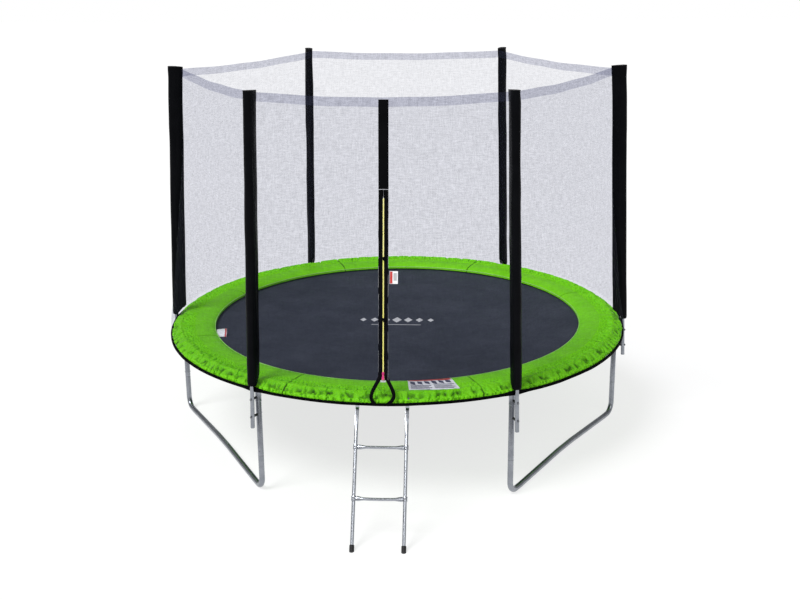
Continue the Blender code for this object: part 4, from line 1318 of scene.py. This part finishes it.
# ------------------------------------------------------------------ zip
ZIP_LOW = 0.824
ZIP_END = DOOR_TOP - 0.050      # top of the teeth
OPEN_TEETH = 0.866              # above this the two rows of teeth stand together
TAPE_T = 0.0012
TOOTH = 0.0026                  # pitch of the teeth
TOOTH_HALF = (0.0021, 0.0014, TOOTH * 0.36)
ZIP_OUT = Vector((0, -ZIP_AXIS.z, ZIP_AXIS.y))
SKYWARD = np.array(ZIP_AXIS)
TAPE_WIDTH = 0.0285
TAPE_OUT = 0.0030               # how far a tape lies out from the net
TRIM_OUT = 0.0037
TRIM = (0.0014, 0.0004)         # the grey edge lies between these distances from the tape's own edge
TEETH_GAP = 0.0045              # extra half gap where the zip stands open at its foot
TOGGLE_HEIGHTS = (1.50, 1.16)
KNOT_SIZE = 0.0036
KNOT_DEPTH = 0.0030
KNOT_R = 0.0024                 # of the cord in a knot, and of its hanging tail
TAIL_R = 0.0022
STRAP_T = 0.0014
CLIP_T = 0.0040
SILL_SECTION = (0.021, 0.0030)
BODY = ((0.010, 0.0040), (0.008, 0.0060), (0.001, 0.0066), (-0.006, 0.0056), (-0.009, 0.0044))
BODY_OUTLINE = ((-1, -0.6), (-0.8, -1), (0.8, -1), (1, -0.6), (1, 0.6), (0.8, 1), (-0.8, 1), (-1, 0.6))
PULL = ((0.000, 0.0024, 0.0010), (-0.004, 0.0036, 0.0014), (-0.012, 0.0052, 0.0016),
        (-0.022, 0.0070, 0.0017), (-0.029, 0.0072, 0.0016), (-0.034, 0.0050, 0.0013),
        (-0.036, 0.0022, 0.0008))


def zip_point(x, height, out=0.0):
    """A point beside the zip's line, some way out from the net."""
    point = zip_at(height) + ZIP_OUT * out
    return np.array((CENTRE.x + ZIP_SHIFT + x, point.y, point.z))


def ribbon(name, rows, thickness, surface, out):
    """A closed flat ribbon from rows of points across it."""
    grid = grid_of(rows)
    lift = np.array(out) * thickness / 2
    front, back = grid + lift, grid - lift
    loops = np.concatenate([front, back[:, ::-1]], 1)
    return closed(name, loops, surface)


def open_gap(heights):
    """Extra half gap between the two sides of the zip, which closes above its open foot."""
    return TEETH_GAP * (1 - smooth((heights - ZIP_LOW) / (OPEN_TEETH - ZIP_LOW)))


def make_tape(label, side):
    """One side of the zip: its tape with a thin grey edge, and its row of teeth."""
    heights = np.linspace(ZIP_LOW, DOOR_TOP - 0.002, 220)
    wobble = 0.0008 * value_noise(heights / 0.09, heights * 0, 81 + int(side))
    inner = 0.0028 * (1 - smooth((heights - ZIP_END + 0.004) / 0.012)) + 0.0002
    inner = inner + open_gap(heights)
    outer = TAPE_WIDTH + wobble
    shares = np.linspace(0, 1, 7)
    grid = [[zip_point(side * (i + (o - i) * t), h, TAPE_OUT + 0.0010 * math.sin(h * 40 + side) * t)
             for t in shares] for i, o, h in zip(inner, outer, heights)]
    tape = ribbon("tape", grid, TAPE_T, WEBBING, ZIP_OUT)
    edge = [[zip_point(side * (o - reach), h, TRIM_OUT) for reach in TRIM] for o, h in zip(outer, heights)]
    trim = ribbon("trim", edge, TAPE_T, GREY, ZIP_OUT)
    levels = np.arange(ZIP_LOW, ZIP_END, TOOTH) + (TOOTH / 2 if side > 0 else 0)
    teeth = [zip_point(side * (gap + 0.0014), h, 0.0036) for gap, h in zip(open_gap(levels), levels)]
    teeth = np.array(teeth)
    half = np.array([[sx, so, sz] for sx in (-1, 1) for so in (-1, 1) for sz in (-1, 1)], float)
    half *= TOOTH_HALF
    box = half[:, :1] * np.array((1, 0, 0)) + half[:, 1:2] * np.array(ZIP_OUT) + half[:, 2:] * SKYWARD
    verts = (teeth[:, None] + box[None]).reshape(-1, 3)
    quads = np.array([(0, 1, 3, 2), (4, 6, 7, 5), (0, 4, 5, 1), (2, 3, 7, 6), (0, 2, 6, 4), (1, 5, 7, 3)])
    faces = (quads[None] + 8 * np.arange(len(teeth))[:, None, None]).reshape(-1, 4)
    row = new_object("teeth", verts, faces, TEETH, verts[:, :2], smooth=False)
    mend(row)
    whole = join(f"zip_{label}", [tape, trim, row])
    bend_with_flap(whole, side)


def make_zip_top():
    """The tape above the door, from the end of the zip up over the hem."""
    heights = np.linspace(DOOR_TOP + 0.0005, HEM_TOP - TOP_SAG - 0.010, 70)
    rows = []
    for height in heights:
        radius = float(net_radius(0.0, height) - apex_dip(height))
        out = 0.0045 + 0.0012 * math.sin(height * 33)
        rows.append([np.array(ring(0.0, radius + out, height)) + np.array((ZIP_SHIFT + x, 0, 0))
                     for x in np.linspace(-TAPE_WIDTH, TAPE_WIDTH, 9)])
    tape = ribbon("zip_top", rows, TAPE_T * 1.6, WEBBING, ZIP_OUT)
    finish_piece(tape, "frame", "net_mesh")


def make_toggle(number, height):
    """A knotted tie beside the zip: a knot, the strap it is sewn down with and its hanging tail."""
    at = Vector(zip_point(0.004, height, 0.0085))
    knot = []
    for turn in turns(60):
        knot.append(at + Vector((math.sin(turn) + 2 * math.sin(2 * turn), 0, 0)) * KNOT_SIZE
                    + ZIP_AXIS * (math.cos(turn) - 2 * math.cos(2 * turn)) * KNOT_SIZE
                    + ZIP_OUT * (-math.sin(3 * turn)) * KNOT_DEPTH)
    tie = sweep("tie", knot, disc(KNOT_R, 10), WEBBING, loop=True, up=tuple(ZIP_OUT + ZIP_AXIS * 0.2))
    strap = [[Vector(zip_point(x, height + t, 0.0052 + 0.002 * (1 - (x / 0.024) ** 2)))
              for t in (-0.005, 0, 0.005)] for x in np.linspace(-0.004, 0.024, 12)]
    band = ribbon("strap", strap, STRAP_T, WEBBING, ZIP_OUT)
    tail = sweep("tail", [at + ZIP_AXIS * -0.006, at + ZIP_AXIS * -0.018 + Vector((0.003, 0, 0)),
                          at + ZIP_AXIS * -0.027 + Vector((0.001, 0, 0)) - ZIP_OUT * 0.001],
                 disc(TAIL_R, 8), WEBBING, up=tuple(ZIP_OUT))
    whole = join(f"zip_tie_{number}", [tie, band, tail])
    finish_piece(whole, "right_flap", "zip_pull")


def make_slider():
    """The zip's slider with its magenta pull."""
    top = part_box("zip_slider")[1].z
    at = Vector(zip_point(0.0, top - 0.008, 0.0062))
    rows = []
    for reach, half in BODY:
        middle = at + ZIP_AXIS * reach
        rows.append([middle + Vector((x * half, 0, 0)) + ZIP_OUT * y * 0.0030 for x, y in BODY_OUTLINE])
    body = closed("body", rows, MAGENTA)
    arch = [at + ZIP_AXIS * 0.007 + ZIP_OUT * 0.002, at + ZIP_AXIS * 0.005 + ZIP_OUT * 0.0056,
            at - ZIP_AXIS * 0.003 + ZIP_OUT * 0.0056, at - ZIP_AXIS * 0.006 + ZIP_OUT * 0.002]
    bridge = sweep("bridge", arch, disc(0.0015, 8), MAGENTA, up=(1, 0, 0))
    rows = []
    for reach, half, thick in PULL:
        middle = at + ZIP_AXIS * reach + ZIP_OUT * 0.0064
        rows.append([middle + Vector((math.cos(t) * half, 0, 0)) + ZIP_OUT * math.sin(t) * thick
                     for t in turns(16)])
    pull = closed("pull", rows, MAGENTA)
    whole = join("slider_and_pull", [body, bridge, pull])
    finish_piece(whole, "slider", "zip_pull", "zip_slider")


def make_sill_straps():
    """Webbing that spreads in two arms from the zip's foot over the pad's edge, with a clip between them."""
    top, low = ZIP_LOW + 0.012, BAND_Z + 0.004
    shapes = (("left", [(-0.022, top), (-0.028, top - 0.016), (-0.042, 0.795), (-0.060, 0.760),
                        (-0.068, 0.728), (-0.062, 0.700), (-0.048, low)]),
              ("right", [(0.022, top), (0.028, top - 0.016), (0.040, 0.795), (0.056, 0.760),
                         (0.060, 0.728), (0.046, 0.700), (0.020, low)]))
    for label, corners in shapes:
        path = []
        for x, height in corners:
            lean = smooth((height - 0.715) / 0.04)
            radius = NET_R + 0.004 - (height - BAND_TOP) * 0.21 * lean
            path.append(ring(math.degrees((ZIP_SHIFT + x) / NET_R), radius, height))
        made = sweep(f"sill_strap_{label}", spline(path, 8), slab_section(*SILL_SECTION), WEBBING,
                     up=(0, -0.96, 0.28))
        finish_piece(made, "frame", "net_mesh")
    clip = [[zip_point(x, h, 0.0065) for x in np.linspace(-0.015, 0.015, 7)]
            for h in (ZIP_LOW - 0.013, ZIP_LOW - 0.011, ZIP_LOW - 0.004, ZIP_LOW - 0.002)]
    made = ribbon("zip_clip", clip, CLIP_T, GREY, ZIP_OUT)
    finish_piece(made, "frame", "zip_pull")


def spline(points, steps):
    """A smooth path through points."""
    points = np.array([tuple(p) for p in points], float)
    ends = np.concatenate([[2 * points[0] - points[1]], points, [2 * points[-1] - points[-2]]])
    path = []
    for a, b, c, d in zip(ends, ends[1:], ends[2:], ends[3:]):
        for t in np.linspace(0, 1, steps, endpoint=False):
            path.append(0.5 * (2 * b + (c - a) * t + (2 * a - 5 * b + 4 * c - d) * t ** 2
                               + (3 * b - a - 3 * c + d) * t ** 3))
    path.append(points[-1])
    return np.array(path)


for tape_label, tape_side in (("left", -1), ("right", 1)):
    make_tape(tape_label, tape_side)
make_zip_top()
for toggle_number, toggle_height in enumerate(TOGGLE_HEIGHTS, start=1):
    make_toggle(toggle_number, toggle_height)
make_slider()
make_sill_straps()


# ------------------------------------------------------------------ ladder
PIVOT = Vector(JOINTS["ladder_swing"]["pos_m"])
STILES = {label: middle_of(f"ladder_foot_{label}").x for label in ("left", "right")}
LADDER_X = sum(STILES.values()) / 2
HALF = (STILES["right"] - STILES["left"]) / 2
STILE_R = 0.0105
LEAN = 0.706                    # run for each metre of height
CAP_R = 0.0140
FOOT_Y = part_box("ladder_foot_left")[0].y + CAP_R * math.sqrt(1 + LEAN ** 2)
BEND_Z = 0.600                  # where a stile turns up to its hook
PRESSED_Z = BEND_Z - 0.060      # and where it starts to be pressed flat
STRAP = (0.011, 0.002)          # half width and half thickness of the flattened tube
SQUARE = 0.42                   # power that squares its section; 1 keeps it round
RIVETS = (0.236, 0.472)
RUNG_R = 0.0088                 # of a rung's middle; its ends grow this much taller and thinner
RUNG_TALLER = 0.0052
RUNG_THINNER = 0.0022
RUNG_BOW = {"lower": -0.0035, "upper": -0.001}
COLLAR = [(-0.0135, 0.0114), (-0.0130, 0.0138), (-0.0115, 0.0143), (-0.004, 0.0136), (0.004, 0.0136),
          (0.0115, 0.0143), (0.0130, 0.0138), (0.0135, 0.0114)]
CAP = ((-0.012, CAP_R), (0.002, CAP_R), (0.006, 0.0133), (0.009, CAP_R), (0.013, 0.0133), (0.016, CAP_R),
       (0.031, 0.0136), (0.0335, 0.0126), (0.0340, 0.0112))
SIDEWAYS = Vector((1, 0, 0))
HOOK_R = RAIL_R + 0.0030 + STRAP[1]
UPWARD = Vector((0, LEAN, 1)).normalized()
FORWARD = Vector((0, -1, LEAN)).normalized()


def stile_at(x, height):
    """A point of a stile's straight axis."""
    return Vector((x, FOOT_Y + LEAN * height, height))


def make_stile(label):
    """A round stile, pressed flat at its top where it hooks over the rail."""
    x = STILES[label]
    hook = PIVOT.y
    plain, flat = (STILE_R, STILE_R, 1.0), (*STRAP, SQUARE)
    path = [(stile_at(x, h), plain) for h in (0.010, 0.05, 0.3, PRESSED_Z)]
    for share in (0.15, 0.35, 0.55, 0.75, 0.9):
        height = PRESSED_Z + 0.068 * share
        blend = float(smooth(share))
        path.append((stile_at(x, height), tuple(a + (b - a) * blend for a, b in zip(plain, flat))))
    corners = [tuple(stile_at(x, BEND_Z + 0.012)), (x, hook - HOOK_R - 0.001, BED_Z - 0.030),
               (x, hook - HOOK_R, BED_Z - 0.016)]
    path += [(Vector(p), flat) for p in corners]
    for turn in np.linspace(math.pi, math.radians(-15), 26):
        path.append((Vector((x, hook + HOOK_R * math.cos(turn), BED_Z + HOOK_R * math.sin(turn))), flat))
    rows = []
    for index, (point, (wide, deep, power)) in enumerate(path):
        tangent = (path[min(index + 1, len(path) - 1)][0] - path[max(index - 1, 0)][0]).normalized()
        normal = tangent.cross(SIDEWAYS)
        row = []
        for turn in turns(ROUND):
            c, s = math.cos(turn), math.sin(turn)
            row.append(point + Vector((math.copysign(abs(c) ** power, c) * wide, 0, 0))
                       + normal * math.copysign(abs(s) ** power, s) * deep)
        rows.append(row)
    stile = closed("stile", rows, BRIGHT)
    rivets = [lathe("rivet", stile_at(x, h) + FORWARD * 0.0102, FORWARD,
                    [(0, 0.0036), (0.0010, 0.0034), (0.0018, 0.0018)], ZINC, 14) for h in RIVETS]
    whole = join(f"stile_{label}", [stile, *rivets])
    finish_piece(whole, "ladder", "ladder_steel", f"ladder_stile_{label}")


def make_rung(label):
    """A rung: a tube that is round in its middle, flares at its ends and wraps each stile."""
    node_name = f"ladder_rung_{label}"
    height = middle_of(node_name).z
    middle = stile_at(LADDER_X, height)
    rows = []
    inner = HALF - STILE_R + 0.002
    for share in np.linspace(-1, 1, 61):
        x = share * inner
        end = smooth((abs(share) - 0.62) / 0.30)
        crimp = 1 - 0.25 * float(smooth((abs(share) - 0.93) / 0.05))
        half_height = (RUNG_R + RUNG_TALLER * end) * crimp
        half_depth = (RUNG_R - RUNG_THINNER * end) * crimp
        point = middle + Vector((x, 0, 0)) + UPWARD * RUNG_BOW[label] * (1 - share ** 2)
        rows.append([point + UPWARD * half_height * math.sin(t) + FORWARD * half_depth * math.cos(t)
                     for t in turns(ROUND)])
    parts = [closed("tube", rows, BRIGHT)]
    for side in (-1, 1):
        hub = middle + Vector((side * HALF, 0, 0))
        parts.append(lathe("collar", hub, UPWARD, COLLAR, BRIGHT, 32))
        parts.append(lathe("screw", hub + FORWARD * 0.0132, FORWARD,
                           [(0, 0.0042), (0.0016, 0.0042), (0.0030, 0.0026), (0.0030, 0.0012),
                            (0.0018, 0.0010)], ZINC, 14))
    whole = join(f"rung_{label}", parts)
    finish_piece(whole, "ladder", "ladder_steel", node_name)


def make_cap(label):
    """A ribbed plastic cap over a stile's foot, cut level where it stands."""
    base = stile_at(STILES[label], 0.0)
    rows = []
    for reach, radius in CAP:
        row = []
        for turn in turns(32):
            point = base + UPWARD * reach + (SIDEWAYS * math.cos(turn) + FORWARD * math.sin(turn)) * radius
            if point.z < 0.0:
                point = point + UPWARD * (-point.z / UPWARD.z)
            row.append(point)
        rows.append(row)
    made = closed(f"cap_{label}", rows, RUBBER)
    finish_piece(made, "ladder", "black_plastic", f"ladder_foot_{label}")


for stile_label in STILES:
    make_stile(stile_label)
    make_cap(stile_label)
for rung_label in ("lower", "upper"):
    make_rung(rung_label)


# ------------------------------------------------------------------ blank labels and a plain print
PAPER_T = 0.0006
PRINT_LIFT = 0.0006             # a printed block stands this far off its label
LABEL_REACH = (1.268, 1.462)    # ring radii of the pad's label
LABEL_TURN = 0.020
TAG_AT = (0.036, 1.360)         # the net's tag: its corner beside the zip, and its size
TAG_SIZE = (0.046, 0.070)
MAT_TAG_AT = (-1.185, -0.425, 0.0045)
MAT_TAG_SIZE = (0.066, 0.034, 0.040)
MAT_TAG_OUT = (0, -0.76, 0.64)


def patch(name, corners, size, surface, lift, folds=0.0006):
    """A thin label, whose points come from a function of two shares."""
    rows, columns = size
    grid = grid_of([[corners(u, v) for u in np.linspace(0, 1, columns)] for v in np.linspace(0, 1, rows)])
    wave = folds * value_noise(grid[..., 0] / 0.03, grid[..., 1] / 0.03, 91)
    lift = np.array(lift, float)
    return ribbon(name, grid + lift * wave[..., None], PAPER_T, surface, lift)


def on_pad(point, lift):
    """The point straight above or below on the front pad, lifted off it."""
    hit = PAD_TREE.ray_cast(Vector((point[0], point[1], PAD_TOP + 0.1)), Vector((0, 0, -1)))[0]
    return np.array((point[0], point[1], hit.z + lift))


def make_pad_label():
    """A blank printed panel on the pad, at the front right: white, with a red stripe, blocks and lines."""
    inner, outer = LABEL_REACH

    def area(u0, u1, v0, v1, lift):
        def corner(u, v):
            degrees = LABEL_ANGLE + LABEL_HALF * (2 * (u0 + (u1 - u0) * u) - 1)
            radius = inner + (outer - inner) * (v0 + (v1 - v0) * v) + LABEL_TURN * (u - 0.5)
            return on_pad(ring(degrees, radius, PAD_TOP), 0.0011 + lift)
        return corner
    parts = [patch("sheet", area(0, 1, 0, 1, 0), (24, 34), WHITE, (0, 0, 1)),
             patch("stripe", area(0.02, 0.98, 0.02, 0.22, PRINT_LIFT), (6, 34), RED, (0, 0, 1))]
    for index in range(6):
        left = 0.05 + 0.155 * index
        parts.append(patch("block", area(left, left + 0.10, 0.28, 0.50, PRINT_LIFT), (6, 6), INK, (0, 0, 1)))
    for index in range(4):
        low = 0.58 + 0.10 * index
        for left in (0.05, 0.53):
            right = left + 0.42 - 0.05 * (index % 2)
            place = area(left, right, low, low + 0.045, PRINT_LIFT)
            parts.append(patch("line", place, (3, 16), INK, (0, 0, 1)))
    finish_piece(join("pad_label", parts), "frame", "pad_cover")


def make_net_tag():
    """A small blank tag beside the zip: white with a red stripe."""
    def area(u0, u1, v0, v1, out):
        def corner(u, v):
            across, up = u0 + (u1 - u0) * u, v0 + (v1 - v0) * v
            return zip_point(TAG_AT[0] + TAG_SIZE[0] * across, TAG_AT[1] + TAG_SIZE[1] * up, out)
        return corner
    parts = [patch("tag", area(0, 1, 0, 1, 0.004), (10, 8), WHITE, tuple(ZIP_OUT)),
             patch("stripe", area(0.03, 0.34, 0.03, 0.97, 0.0048), (8, 4), RED, tuple(ZIP_OUT)),
             patch("block", area(0.46, 0.88, 0.25, 0.85, 0.0048), (6, 4), GREY, tuple(ZIP_OUT))]
    finish_piece(join("net_tag", parts), "right_flap", "net_mesh")


def make_mat_tag():
    """A small blank tag sewn into the pad's inner edge at the left, which stands up from the mat."""
    foot = Vector((CENTRE.x, CENTRE.y, BED_Z)) + Vector(MAT_TAG_AT)
    wide, deep, tall = MAT_TAG_SIZE

    def area(u0, u1, lift):
        def corner(u, v):
            across = u0 + (u1 - u0) * u
            curl = 0.006 * math.sin(math.pi * v) + 0.004 * math.sin(2.5 * across)
            return foot + Vector((wide * across, deep * v + curl - lift, tall * v + 0.006 * across * v))
        return corner
    parts = [patch("tag", area(0, 1, 0), (10, 12), WHITE, MAT_TAG_OUT),
             patch("stripe", area(0.80, 0.97, 0.0009), (10, 4), RED, MAT_TAG_OUT)]
    made = join("mat_tag", parts)
    finish_piece(made, "frame", "pad_cover")


def make_mat_mark():
    """A plain row of lozenges with a line under it, printed across the middle of the mat."""
    verts = []
    top = BED_Z + MAT_T / 2 + 0.0004
    for index in range(7):
        size = 0.034 - 0.004 * abs(index - 3)
        x, y = CENTRE.x + (index - 3) * 0.078, CENTRE.y - 0.02
        verts += [(x - size, y, top), (x, y - size * 1.7, top), (x + size, y, top), (x, y + size * 1.7, top)]
    for x, y in ((-1, -1), (1, -1), (1, 1), (-1, 1)):
        verts.append((CENTRE.x + x * 0.17, CENTRE.y - 0.125 + y * 0.004, top))
    faces = np.arange(len(verts)).reshape(-1, 4)
    made = new_object("mat_mark", verts, faces, MARK, np.array(verts)[:, :2], smooth=False)
    finish_piece(made, "bed", "mat_weave")


make_pad_label()
make_net_tag()
make_mat_tag()
make_mat_mark()


# ------------------------------------------------------------------ stage
FLOOR_GLOW = 0.72               # lifts the shadows on a white studio floor
FLOOR_HALF = 40.0
FLOOR_Z = -0.0005


def make_floor():
    """A pale seamless floor."""
    made, tree, shader = new_material("floor_pale")
    where = node(tree, "TexCoord").outputs["Object"]
    cloud = noise_of(tree, where, 0.8, 3)
    feed(tree, shader, {"Base Color": ramp(tree, cloud, [(0.3, 0.27), (0.7, 0.30)]), "Roughness": 0.9,
                        "Emission Color": PURE_WHITE, "Emission Strength": FLOOR_GLOW})
    verts = np.array([(-1, -1, 0), (1, -1, 0), (1, 1, 0), (-1, 1, 0)]) * FLOOR_HALF
    floor = new_object("floor", verts, [(0, 1, 2, 3)], made, verts[:, :2], smooth=False)
    floor.location.z = FLOOR_Z


make_floor()
